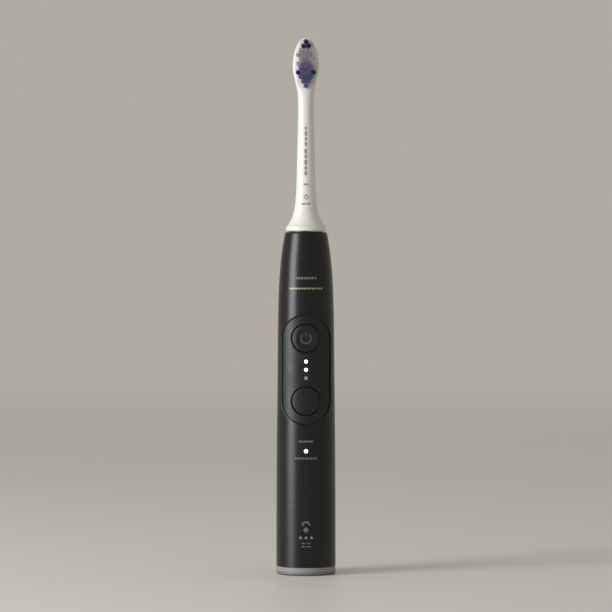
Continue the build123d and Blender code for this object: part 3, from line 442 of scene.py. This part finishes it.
# the finish of each CAD slot
CARRIED = {
    "black_satin": satin_casing(),
    "black_pad": rubber_pad(),
    "frosted_grey": frosted_foot(),
    "black_plastic": moulded(
        "socket_black_plastic", (0.006, 0.006, 0.007), (0.014, 0.014, 0.015), dull=0.45
    ),
    "white_plastic": WHITE,
    "chassis_grey": moulded(
        "chassis_grey_plastic", (0.16, 0.17, 0.18), (0.24, 0.25, 0.26), dull=0.5
    ),
    "board_green": board_laminate(),
    "chip_black": moulded(
        "chip_black_resin", (0.010, 0.010, 0.011), (0.025, 0.025, 0.026), dull=0.55,
        grain_per_metre=5200, depth=0.02,
    ),
    "steel": STEEL,
    "nickel": worked_metal(
        "nickel_strip", (0.55, 0.53, 0.48), (0.72, 0.70, 0.65), dull=0.30,
        stretch=(20, 1, 1),
    ),
    "lamination": stacked_laminations(),
    "magnet": worked_metal(
        "plated_magnet", (0.42, 0.43, 0.45), (0.60, 0.61, 0.63), dull=0.20,
        stretch=(1, 1, 4),
    ),
    "copper": wound_copper(),
    "bronze": worked_metal(
        "sintered_bronze", (0.36, 0.22, 0.09), (0.56, 0.37, 0.17), dull=0.42,
        stretch=(1, 1, 1),
    ),
    "rubber_black": moulded(
        "seal_rubber", (0.009, 0.009, 0.009), (0.018, 0.018, 0.018), dull=0.68,
        grain_per_metre=3000, depth=0.03,
    ),
    "foam": moulded(
        "battery_foam", (0.05, 0.05, 0.055), (0.14, 0.14, 0.15), dull=0.9,
        grain_per_metre=1500, depth=0.15,
    ),
    "cell_wrap": cell_sleeve(),
}

LIT_WHITE = (1.0, 0.97, 0.92)
LIT_GREEN_WHITE = (0.86, 1.0, 0.82)
GUIDES = {
    "intensity_light_guide": light_guide(
        "intensity_glow", 12.4, LIT_WHITE, strength=2.6, faint_below=95.2
    ),
    "mode_light_guide": light_guide("mode_glow", 13.4, LIT_WHITE, strength=2.0),
    "battery_light_guide": light_guide("battery_glow", 13.6, LIT_GREEN_WHITE, strength=0.17),
    "board_leds": light_guide("board_led_glow", 7.6, LIT_WHITE, strength=0.8),
}

# each bristle's first colour is its root, darkened with painted shade; the second is its tip
BRISTLES = {
    "white": bristle("white_nylon", (0.78, 0.77, 0.78), (0.88, 0.87, 0.88)),
    "violet": bristle(
        "violet_nylon", (0.22, 0.15, 0.33), (0.42, 0.32, 0.62), upper_tip=(0.84, 0.77, 0.86)
    ),
    "navy": bristle("navy_nylon", (0.012, 0.013, 0.08), (0.045, 0.048, 0.22)),
    "blue": bristle("blue_nylon", (0.07, 0.085, 0.30), (0.25, 0.29, 0.62)),
}


def dress_carried_pieces():
    """Give every carried-over CAD node its real finish."""
    for name, node in NODES.items():
        for index, slot in enumerate(node.data.materials):
            finish = GUIDES.get(name) or CARRIED.get(slot.name.split(".")[0])
            if finish:
                node.data.materials[index] = finish


# ======== Bench tools ========


def begin_edit():
    bpy.ops.object.mode_set(mode="EDIT")


def end_edit():
    bpy.ops.object.mode_set(mode="OBJECT")


def clear_bench():
    """Nothing selected, in object mode."""
    if bpy.context.object and bpy.context.object.mode != "OBJECT":
        end_edit()
    bpy.ops.object.select_all(action="DESELECT")


def pick(piece):
    """This piece alone is selected and worked on."""
    clear_bench()
    piece.select_set(True)
    bpy.context.view_layer.objects.active = piece


def settle(piece):
    """Put the piece's place into its mesh."""
    pick(piece)
    bpy.ops.object.transform_apply(location=True, rotation=True, scale=True)


def heal():
    """In edit mode: merge what coincides and turn every face outwards."""
    bpy.ops.mesh.select_all(action="SELECT")
    bpy.ops.mesh.remove_doubles(threshold=TINY)
    bpy.ops.mesh.normals_make_consistent(inside=False)


def smooth(piece, degrees):
    """Shade smoothly over edges that turn by less than this many degrees."""
    pick(piece)
    bpy.ops.object.shade_smooth_by_angle(angle=math.radians(degrees))


def modify(piece, kind, **settings):
    """Add one modifier and apply it at once."""
    bpy.context.view_layer.objects.active = piece
    modifier = piece.modifiers.new(kind.title(), kind)
    for key, value in settings.items():
        setattr(modifier, key, value)
    bpy.ops.object.modifier_apply(modifier=modifier.name)


def soften(piece, width, segments, sharper_than):
    """Round the edges that turn by more than so many degrees."""
    modify(
        piece, "BEVEL", width=width * MM, segments=segments,
        limit_method="ANGLE", angle_limit=math.radians(sharper_than),
    )


def copy_of(piece):
    """Another of the same piece, with a mesh of its own."""
    copy = piece.copy()
    copy.data = piece.data.copy()
    bpy.context.scene.collection.objects.link(copy)
    return copy


def join(pieces, name):
    clear_bench()
    for piece in pieces:
        piece.select_set(True)
    bpy.context.view_layer.objects.active = pieces[0]
    bpy.ops.object.transform_apply(location=True, rotation=True, scale=True)
    bpy.ops.object.join()
    pieces[0].name = name
    return pieces[0]


def put_on(piece, body, finish, slot, *stands_for):
    """Hand a finished piece to its body, with its finish and what it stands for."""
    settle(piece)
    piece.data.materials.clear()
    piece.data.materials.append(finish)
    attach(piece, body)
    if stands_for:
        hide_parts(*stands_for)


def curve_through(points, steps):
    """Points on a smooth curve through the given ones, with steps between each two."""
    first = tuple(2 * a - b for a, b in zip(points[0], points[1]))
    last = tuple(2 * a - b for a, b in zip(points[-1], points[-2]))
    padded = [first, *points, last]
    found = []
    for four in zip(padded, padded[1:], padded[2:], padded[3:]):
        for step in range(steps):
            t = step / steps
            found.append(
                tuple(
                    b + 0.5 * t * (
                        c - a + t * (2 * a - 5 * b + 4 * c - d + t * (3 * (b - c) + d - a))
                    )
                    for a, b, c, d in zip(*four)
                )
            )
    return [*found, points[-1]]


def turned(name, outline, steps=96, middle=(0.0, 0.0, 0.0), axis=(0, 0, 1)):
    """A piece turned on the lathe. The outline's points are radius and place along the axis."""
    clear_bench()
    bpy.ops.mesh.primitive_plane_add(size=MM)
    piece = bpy.context.object
    piece.name = name
    lengthwise = Vector(axis)
    spots = [
        Vector((radius, 0, 0)) * MM + lengthwise * along * MM for radius, along in outline
    ]
    begin_edit()
    bpy.ops.mesh.merge(type="CENTER")
    bpy.ops.transform.translate(value=spots[0])
    for here, there in zip(spots, spots[1:]):
        bpy.ops.mesh.extrude_vertices_move(TRANSFORM_OT_translate={"value": there - here})
    bpy.ops.mesh.select_all(action="SELECT")
    bpy.ops.mesh.spin(steps=steps, angle=TURN, center=(0, 0, 0), axis=axis)
    heal()
    bpy.ops.transform.translate(value=Vector(middle) * MM)
    end_edit()
    return piece


# ======== Neck, paddle and collar ========

HEAD_FOOT = 165.05
BORE_R = 3.33
BORE_TOP = 187.2
FLARE_TOP = 171.2
COLLAR_BORE_R = 6.4
COLLAR_FOOT = 162.5
COLLAR_TOP = 165.0

# height, half width, how far the front and the back stand from the middle plane
NECK_SECTIONS = [
    (HEAD_FOOT, 8.9, 8.9, 8.9),
    (166.1, 8.15, 8.15, 8.15),
    (167.5, 7.35, 7.35, 7.35),
    (169.2, 6.55, 6.55, 6.55),
    (172.2, 5.68, 5.68, 5.68),
    (176.5, 5.0, 5.0, 5.0),
    (183.0, 4.58, 4.58, 4.58),
    (191.0, 4.38, 4.38, 4.38),
    (202.0, 4.1, 4.1, 4.1),
    (213.0, 3.85, 3.82, 3.85),
    (220.0, 3.75, 3.55, 3.7),
    (224.5, 3.78, 3.05, 3.45),
    (228.0, 3.98, 2.5, 3.1),
    (231.0, 4.55, 2.22, 2.8),
    (234.4, 5.4, 2.2, 2.62),
    (238.0, 6.1, 2.2, 2.6),
    (241.4, 6.28, 2.2, 2.6),
    (245.0, 5.88, 2.2, 2.6),
    (248.5, 5.05, 2.2, 2.55),
    (251.0, 3.95, 2.2, 2.35),
    (252.8, 2.7, 1.95, 2.0),
    (253.7, 1.45, 1.35, 1.35),
]
SECTION_STEPS = 3
TIP = 254.0
NECK_SIDES = 48

# the paddle's face is round below FLAT_FROM and flat from FLAT_BLEND above it
FLAT_FROM = 229.5
FLAT_BLEND = 3.0
FLAT_SQUARENESS = 1.9

OVAL_SIDES = 72
BED_GAP = 0.06 * MM


def draw_out(here, there):
    """In edit mode: extrude the selected loop to the next section and size it."""
    height_here, width_here, front_here, back_here = here
    height, width, front, back = there
    centre = (back - front) / 2
    rise = Vector((0, centre - (back_here - front_here) / 2, height - height_here)) * MM
    bpy.ops.mesh.extrude_region_move(TRANSFORM_OT_translate={"value": rise})
    bpy.ops.transform.resize(
        value=(width / width_here, (front + back) / (front_here + back_here), 1),
        center_override=(0, centre * MM, height * MM),
    )


def neck():
    """One moulding: the bore inside, the flared foot, the slim neck and the flat paddle."""
    clear_bench()
    bpy.ops.mesh.primitive_circle_add(
        vertices=NECK_SIDES, radius=BORE_R * MM, location=(0, 0, BORE_TOP * MM),
        fill_type="NGON",
    )
    piece = bpy.context.object
    piece.name = "neck_and_paddle"
    settle(piece)
    sections = [
        (BORE_TOP, BORE_R, BORE_R, BORE_R),
        (FLARE_TOP, BORE_R, BORE_R, BORE_R),
        (HEAD_FOOT, COLLAR_BORE_R, COLLAR_BORE_R, COLLAR_BORE_R),
        *curve_through(NECK_SECTIONS, SECTION_STEPS),
    ]
    begin_edit()
    bpy.ops.mesh.select_all(action="SELECT")
    for here, there in zip(sections, sections[1:]):
        draw_out(here, there)
    height, _, front, back = sections[-1]
    lift = Vector((0, -(back - front) / 2, TIP - height)) * MM
    bpy.ops.mesh.extrude_region_move(TRANSFORM_OT_translate={"value": lift})
    bpy.ops.mesh.merge(type="CENTER")
    heal()
    end_edit()
    return piece


def flatten_paddle_front(piece, face_at):
    """Swell the paddle's round front until it meets a flat face, face_at before the middle."""
    for vertex in piece.data.vertices:
        _, y, z = vertex.co / MM
        if z > FLAT_FROM and y < 0:
            share = min(1.0, (z - FLAT_FROM) / FLAT_BLEND)
            squared = max(y * FLAT_SQUARENESS, -face_at)
            vertex.co.y += share * (squared - y) * MM


def oval_disc(name, width, height, depth, place):
    """An upright oval disc that faces forwards. Width and height are half sizes."""
    clear_bench()
    bpy.ops.mesh.primitive_cylinder_add(vertices=OVAL_SIDES, radius=1.0, depth=1.0)
    disc = bpy.context.object
    disc.name = name
    disc.rotation_euler = (QUARTER_TURN, 0, 0)
    disc.scale = (width, height, depth)
    disc.location = place
    settle(disc)
    return disc


def cut_plate_bed(piece, plate_low, plate_high):
    """Sink an oval bed in the paddle's face for the tuft plate."""
    middle = (plate_low + plate_high) / 2
    half = (plate_high - plate_low) / 2
    cutter = oval_disc(
        "bed_cutter", half.x + BED_GAP, half.z + BED_GAP, 2 * half.y + BED_GAP,
        (middle.x, plate_low.y + half.y, middle.z),
    )
    modify(piece, "BOOLEAN", operation="DIFFERENCE", solver="EXACT", object=cutter)
    bpy.data.objects.remove(cutter)


def tuft_plate():
    """Oval plate with softened edges that the tufts are stapled into."""
    low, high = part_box("tuft_plate")
    half = (high - low) / 2
    piece = oval_disc("oval_tuft_plate", half.x, half.z, 2 * half.y, (low + high) / 2)
    soften(piece, 0.22, segments=3, sharper_than=60)
    smooth(piece, 35)
    return piece


def collar():
    """Rim of the head above the handle: rounded below, with a fine step up to the neck."""
    outline = [
        (COLLAR_BORE_R, COLLAR_FOOT),
        (8.6, COLLAR_FOOT),
        (9.0, 162.53),
        (9.28, 162.66),
        (9.42, 162.86),
        (9.46, 163.12),
        (9.42, 163.8),
        (9.36, 164.45),
        (9.28, 164.74),
        (9.1, 164.93),
        (8.86, COLLAR_TOP),
        (COLLAR_BORE_R, COLLAR_TOP),
        (COLLAR_BORE_R, COLLAR_FOOT),
    ]
    rim = turned("collar_rim", outline)
    smooth(rim, 40)
    return rim


# ======== Tufts ========

FILAMENT_SIDES = 5
FILAMENT_R = 0.1
TUFT_LENGTH = 9.2
# the rounded tip starts this far below the end, and narrows over these two steps
TIP_SHOULDER = 0.12
TIP_TAPER = 0.08
TIP_DOME = 0.04
TIP_NARROWING = 0.6

# ring number, filaments in it, radius
RINGS = ((0, 1, 0.0), (1, 6, 0.22), (2, 12, 0.44), (3, 17, 0.66), (4, 22, 0.88))
OUTER_RING = 4
RING_TWIST = 0.3
SPLAY = 0.026
TURN_SCATTER = 0.08
PLACE_SCATTER = 0.02
LEAN_SCATTER = 0.006
SHORTEST = 0.985

PADDLE_Z = 241.4
TUFT_PITCH = 2.45
ROW_PITCH = 2.08
TUFT_SPREAD_X = 4.4
TUFT_SPREAD_Z = 10.7
LAST_ROW = 5
LAST_STEP = 3
BUNCH_KINDS = 4
TUFT_SEED = 7


def filament():
    """One nylon filament with a rounded tip. It points down -Y from the origin."""
    clear_bench()
    bpy.ops.mesh.primitive_circle_add(
        vertices=FILAMENT_SIDES, radius=FILAMENT_R * MM, rotation=(QUARTER_TURN, 0, 0),
        fill_type="NOTHING",
    )
    piece = bpy.context.object
    piece.name = "filament"
    settle(piece)
    begin_edit()
    bpy.ops.mesh.select_all(action="SELECT")
    for length in (TUFT_LENGTH - TIP_SHOULDER, TIP_TAPER):
        bpy.ops.mesh.extrude_region_move(TRANSFORM_OT_translate={"value": (0, -length * MM, 0)})
    bpy.ops.transform.resize(
        value=(TIP_NARROWING, 1, TIP_NARROWING),
        center_override=(0, -(TUFT_LENGTH - TIP_DOME) * MM, 0),
    )
    bpy.ops.mesh.extrude_region_move(TRANSFORM_OT_translate={"value": (0, -TIP_DOME * MM, 0)})
    bpy.ops.mesh.merge(type="CENTER")
    heal()
    end_edit()
    return piece


def one_tuft(pattern, name, draw):
    """A bunch of filaments that spreads a little towards its tips."""
    strands = []
    for ring, count, radius in RINGS:
        for index in range(count):
            scatter = draw.uniform(-TURN_SCATTER, TURN_SCATTER)
            turn = TURN * (index / count) + ring * RING_TWIST + scatter
            reach = radius + draw.uniform(-PLACE_SCATTER, PLACE_SCATTER)
            lean = SPLAY * ring / OUTER_RING + draw.uniform(-LEAN_SCATTER, LEAN_SCATTER)
            out = Vector((math.cos(turn), 0, math.sin(turn)))
            strand = copy_of(pattern)
            strand.location = out * reach * MM
            strand.rotation_euler = (-lean * out.z, 0, lean * out.x)
            strand.scale = (1, draw.uniform(SHORTEST, 1.0), 1)
            strands.append(strand)
    return join(strands, name)


def tuft_places():
    """Row, side step and place of every tuft: eleven staggered rows inside an oval."""
    for row in range(-LAST_ROW, LAST_ROW + 1):
        for step in range(-LAST_STEP, LAST_STEP + 1):
            x = step * TUFT_PITCH / 2
            z = row * ROW_PITCH
            inside = (x / TUFT_SPREAD_X) ** 2 + (z / TUFT_SPREAD_Z) ** 2 <= 1
            if (row + step) % 2 and inside:
                yield row, step, Vector((x, 0, PADDLE_Z + z)) * MM


def tuft_colour(row, step):
    """Blue at the neck end, navy flanks and tip, white flanks above, violet in the middle."""
    if row >= LAST_ROW - 1 or (row == -2 and abs(step) == LAST_STEP):
        return "navy"
    if row < -2:
        return "blue"
    if row >= 0 and abs(step) >= 2:
        return "white"
    return "violet"


def tufts():
    """Fill the four colours' tufts with filaments."""
    draw = random.Random(TUFT_SEED)
    pattern = filament()
    bunches = [one_tuft(pattern, f"bunch_{index}", draw) for index in range(BUNCH_KINDS)]
    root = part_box("tuft_plate")[0].y
    groups = {colour: [] for colour in BRISTLES}
    for row, step, place in tuft_places():
        tuft = copy_of(draw.choice(bunches))
        tuft.location = place + Vector((0, root, 0))
        tuft.rotation_euler = (0, draw.uniform(0, TURN), 0)
        groups[tuft_colour(row, step)].append(tuft)
    for colour, members in groups.items():
        group = join(members, f"{colour}_filaments")
        smooth(group, 60)
        put_on(group, "brush_head", BRISTLES[colour], f"{colour}_bristle", f"{colour}_tufts")
    for spare in [pattern, *bunches]:
        bpy.data.objects.remove(spare)


def brush_head():
    plate_low, plate_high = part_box("tuft_plate")
    piece = neck()
    flatten_paddle_front(piece, -plate_low.y / MM)
    cut_plate_bed(piece, plate_low, plate_high)
    soften(piece, 0.12, segments=2, sharper_than=55)
    smooth(piece, 50)
    put_on(piece, "brush_head", WHITE, "white_plastic", "neck_shell")
    put_on(tuft_plate(), "brush_head", WHITE, "white_plastic", "tuft_plate")
    put_on(collar(), "brush_head", WHITE, "white_plastic", "collar_ring")
    tufts()
    return piece


# ======== Printed marks ========

INK_THICKNESS = 0.04 * MM
INK_CLEARANCE = 0.01 * MM
MARK_STAND_OFF = 30 * MM
BAR_CORNER = 0.35
LONGEST_BAR_FACE = 1.2

# name, the bars' widths, their height, the gap between them, height on the handle, ink
# and CAD slot
HANDLE_LINES = [
    (
        "upper_front_mark", [1.0, 0.8, 1.2, 0.9, 1.1, 0.8, 1.2, 0.9],
        1.15, 0.28, 140.4, GREY_INK, "frosted_grey",
    ),
    (
        "lower_front_mark", [1.1, 0.9, 1.3, 1.0, 0.9, 1.2, 0.8, 1.1, 1.3, 0.9, 1.2, 1.0],
        0.85, 0.26, 135.5, GOLD, "nickel",
    ),
    (
        "mode_label_above", [0.9, 0.7, 0.9, 0.8, 0.7, 0.9],
        1.0, 0.32, 63.5, GREY_INK, "frosted_grey",
    ),
    (
        "mode_label_below", [0.8, 0.9, 0.7, 0.9, 0.8, 0.7, 0.9, 0.8, 0.9],
        0.95, 0.36, 55.5, GREY_INK, "frosted_grey",
    ),
]


def flat_bar(width, height, x, z):
    """A flat pill-ended bar in front of the brush, cut into short faces so that it bends."""
    clear_bench()
    bpy.ops.mesh.primitive_plane_add(
        size=1.0, rotation=(QUARTER_TURN, 0, 0), location=(x * MM, -MARK_STAND_OFF, z * MM)
    )
    bar = bpy.context.object
    bar.scale = (width * MM, height * MM, 1)
    settle(bar)
    begin_edit()
    bpy.ops.mesh.select_all(action="SELECT")
    corner = BAR_CORNER * min(width, height) * MM
    bpy.ops.mesh.bevel(offset=corner, segments=2, affect="VERTICES")
    faces = max(2, math.ceil(width / LONGEST_BAR_FACE))
    for cut in range(1, faces):
        at = (x - width / 2 + cut * width / faces) * MM
        bpy.ops.mesh.select_all(action="SELECT")
        bpy.ops.mesh.bisect(plane_co=(at, 0, 0), plane_no=(1, 0, 0))
    end_edit()
    return bar


def flat_ring(outer, inner, x, z, start=0.0, sweep=TURN, steps=36):
    """A flat ring, or part of one, in front of the brush."""
    clear_bench()
    bpy.ops.mesh.primitive_plane_add(size=MM)
    ring = bpy.context.object
    begin_edit()
    bpy.ops.mesh.merge(type="CENTER")
    aim = Vector((math.cos(start), 0, math.sin(start)))
    bpy.ops.transform.translate(value=aim * inner * MM)
    across = aim * (outer - inner) * MM
    bpy.ops.mesh.extrude_vertices_move(TRANSFORM_OT_translate={"value": across})
    bpy.ops.mesh.select_all(action="SELECT")
    bpy.ops.mesh.spin(steps=steps, angle=-sweep, center=(0, 0, 0), axis=(0, 1, 0))
    heal()
    bpy.ops.transform.translate(value=(x * MM, -MARK_STAND_OFF, z * MM))
    end_edit()
    return ring


def row_of_bars(widths, height, gap, z):
    """A line of short bars across the brush, centred on it."""
    x = -(sum(widths) + gap * (len(widths) - 1)) / 2
    bars = []
    for width in widths:
        bars.append(flat_bar(width, height, x + width / 2, z))
        x += width + gap
    return bars


def column_of_bars(lengths, width, gap, z, x):
    """A line of short bars that runs up the neck from z."""
    bars = []
    for length in lengths:
        bars.append(flat_bar(width, length, x, z + length / 2))
        z += length + gap
    return bars


def lay_on(marks, name, surface, body, finish, slot):
    """Lay flat marks on a surface from the front, and give the ink its thickness."""
    mark = join(marks, name)
    modify(
        mark, "SHRINKWRAP", target=surface, wrap_method="PROJECT", use_project_y=True,
        use_positive_direction=True, use_negative_direction=False, offset=INK_CLEARANCE,
    )
    begin_edit()
    heal()
    end_edit()
    if sum(face.normal.y * face.area for face in mark.data.polygons) > 0:
        begin_edit()
        bpy.ops.mesh.select_all(action="SELECT")
        bpy.ops.mesh.flip_normals()
        end_edit()
    modify(mark, "SOLIDIFY", thickness=INK_THICKNESS, offset=1.0)
    smooth(mark, 40)
    put_on(mark, body, finish, slot)


def handle_marks():
    casing = NODES["handle_shell"]
    for name, widths, height, gap, z, ink, slot in HANDLE_LINES:
        lay_on(row_of_bars(widths, height, gap, z), name, casing, "handle", ink, slot)
    arch = flat_ring(2.0, 1.25, x=0, z=23.9, start=TURN / 2, sweep=TURN / 2)
    diamond = flat_ring(1.4, 0.0, x=0, z=21.8, steps=4)
    lay_on([arch, diamond], "care_symbol", casing, "handle", GREY_INK, "frosted_grey")
    scale = row_of_bars([1.7, 1.7], 0.42, 0.8, 15.5) + row_of_bars([1.9, 1.9], 0.42, 0.6, 13.9)
    lay_on(scale, "battery_scale", casing, "handle", GREY_INK, "frosted_grey")


def power_symbol():
    """Plain on-off sign on the upper button: an open ring with a short bar in its gap."""
    height = sum(corner.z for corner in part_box("power_button")) / 2 / MM
    gap = math.radians(72)
    ring = flat_ring(2.7, 2.0, x=0, z=height, start=QUARTER_TURN - gap / 2, sweep=TURN - gap)
    bar = flat_bar(0.7, 2.1, x=0, z=height + 1.85)
    lay_on(
        [ring, bar],
        "power_symbol", NODES["power_button"], "power_button", DIM_INK, "frosted_grey",
    )


def neck_marks(neck_piece):
    line = [
        *column_of_bars([2.1, 1.7, 2.4, 1.6], 1.0, 0.5, z=202.6, x=-0.1),
        *column_of_bars([2.2, 1.8, 2.6, 2.0, 2.3], 1.3, 0.45, z=188.8, x=-0.1),
    ]
    lay_on(line, "neck_line_mark", neck_piece, "brush_head", NECK_INK, "chassis_grey")
    foot = [
        flat_bar(2.4, 0.8, x=0, z=184.6),
        flat_ring(1.15, 0.55, x=0, z=178.6),
        *row_of_bars([2.0, 1.8], 0.9, 0.45, 175.4),
    ]
    lay_on(foot, "neck_foot_marks", neck_piece, "brush_head", NECK_INK, "chassis_grey")


# ======== Switches ========

# from the rim to the crown, as shares of the dome's radius and height
DOME_CROWN = [(1.0, 0.16), (0.78, 0.5), (0.42, 0.9), (0.0, 1.0)]


def snap_dome(node):
    """Dished steel disc under a button's plunger, in its resting shape. The real one flattens
    as the button goes in.
    """
    low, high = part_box(node)
    middle = (low + high) / 2
    reach = (high.x - low.x) / 2 / MM
    height = (high.y - low.y) / MM
    crown = curve_through([(reach * out, -height * up) for out, up in DOME_CROWN], 5)
    dome = turned(
        f"{node}_disc", [(0, 0), (reach, 0), *crown], steps=48,
        middle=(0, high.y / MM, middle.z / MM), axis=(0, 1, 0),
    )
    smooth(dome, 35)
    put_on(dome, "handle", STEEL, "steel", node)
    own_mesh(dome)


# ======== Studio ========

BACKDROP = (0.435, 0.41, 0.365)
FLOOR_R = 9.0
FLOOR_FADE_START = 0.1
FLOOR_FADE_END = 2.6
EYE_HEIGHT = 0.165
EYE_DISTANCE = 1.7
AIM_HEIGHT = 0.127
LENS = 211.0
SENSOR_WIDTH = 36.0


def studio_floor():
    """Pale plain floor that fades into the backdrop colour far away."""
    clear_bench()
    bpy.ops.mesh.primitive_circle_add(
        vertices=96, radius=FLOOR_R, location=(0, 0, 0), fill_type="NGON"
    )
    floor = bpy.context.object
    floor.name = "studio_floor"
    finish = Finish("pale_floor", specular_ior_level=0.3)
    mottle = finish.noise(3.0, 3)
    grain = finish.noise(900, 2)
    reach = finish.node(
        "ShaderNodeVectorMath", {"operation": "LENGTH"}, {0: finish.place}, out="Value"
    )
    far = finish.node(
        "ShaderNodeMapRange",
        {"interpolation_type": "SMOOTHERSTEP"},
        {"Value": reach, "From Min": FLOOR_FADE_START, "From Max": FLOOR_FADE_END},
    )
    finish.drive(
        base_color=finish.blend(mottle, (0.74, 0.738, 0.715), (0.78, 0.778, 0.755)),
        roughness=finish.spread(grain, 0.42, 0.52),
    )
    finish.fade_to_glow(far, BACKDROP)
    floor.data.materials.append(finish.material)


def backdrop_light():
    world = bpy.data.worlds.new("studio_backdrop")
    world.use_nodes = True
    background = world.node_tree.nodes["Background"]
    background.inputs["Color"].default_value = (*BACKDROP, 1.0)
    background.inputs["Strength"].default_value = 1.0
    bpy.context.scene.world = world


def stand(data, place, aim):
    """Put a lamp or camera in the studio, turned to look at a point."""
    holder = bpy.data.objects.new(data.name, data)
    holder.location = place
    holder.rotation_euler = (Vector(aim) - Vector(place)).to_track_quat("-Z", "Y").to_euler()
    bpy.context.scene.collection.objects.link(holder)
    return holder


def key_softbox():
    """The one window-like light, from the left and a little in front."""
    lamp = bpy.data.lights.new("key_softbox", "AREA")
    lamp.shape = "RECTANGLE"
    lamp.size = 0.58
    lamp.size_y = 0.80
    lamp.energy = 14.0
    lamp.color = (1.0, 0.99, 0.975)
    stand(lamp, (-1.04, -0.60, 0.40), (0, 0, 0.20))


def camera():
    eye = bpy.data.cameras.new("front_view")
    eye.lens = LENS
    eye.sensor_width = SENSOR_WIDTH
    place = (0, -EYE_DISTANCE, EYE_HEIGHT)
    bpy.context.scene.camera = stand(eye, place, (0, 0, AIM_HEIGHT))


def studio():
    studio_floor()
    backdrop_light()
    key_softbox()
    camera()
    bpy.context.scene.view_settings.view_transform = "Standard"


dress_carried_pieces()
HEAD = brush_head()
snap_dome("power_dome")
snap_dome("mode_dome")
handle_marks()
power_symbol()
neck_marks(HEAD)
studio()
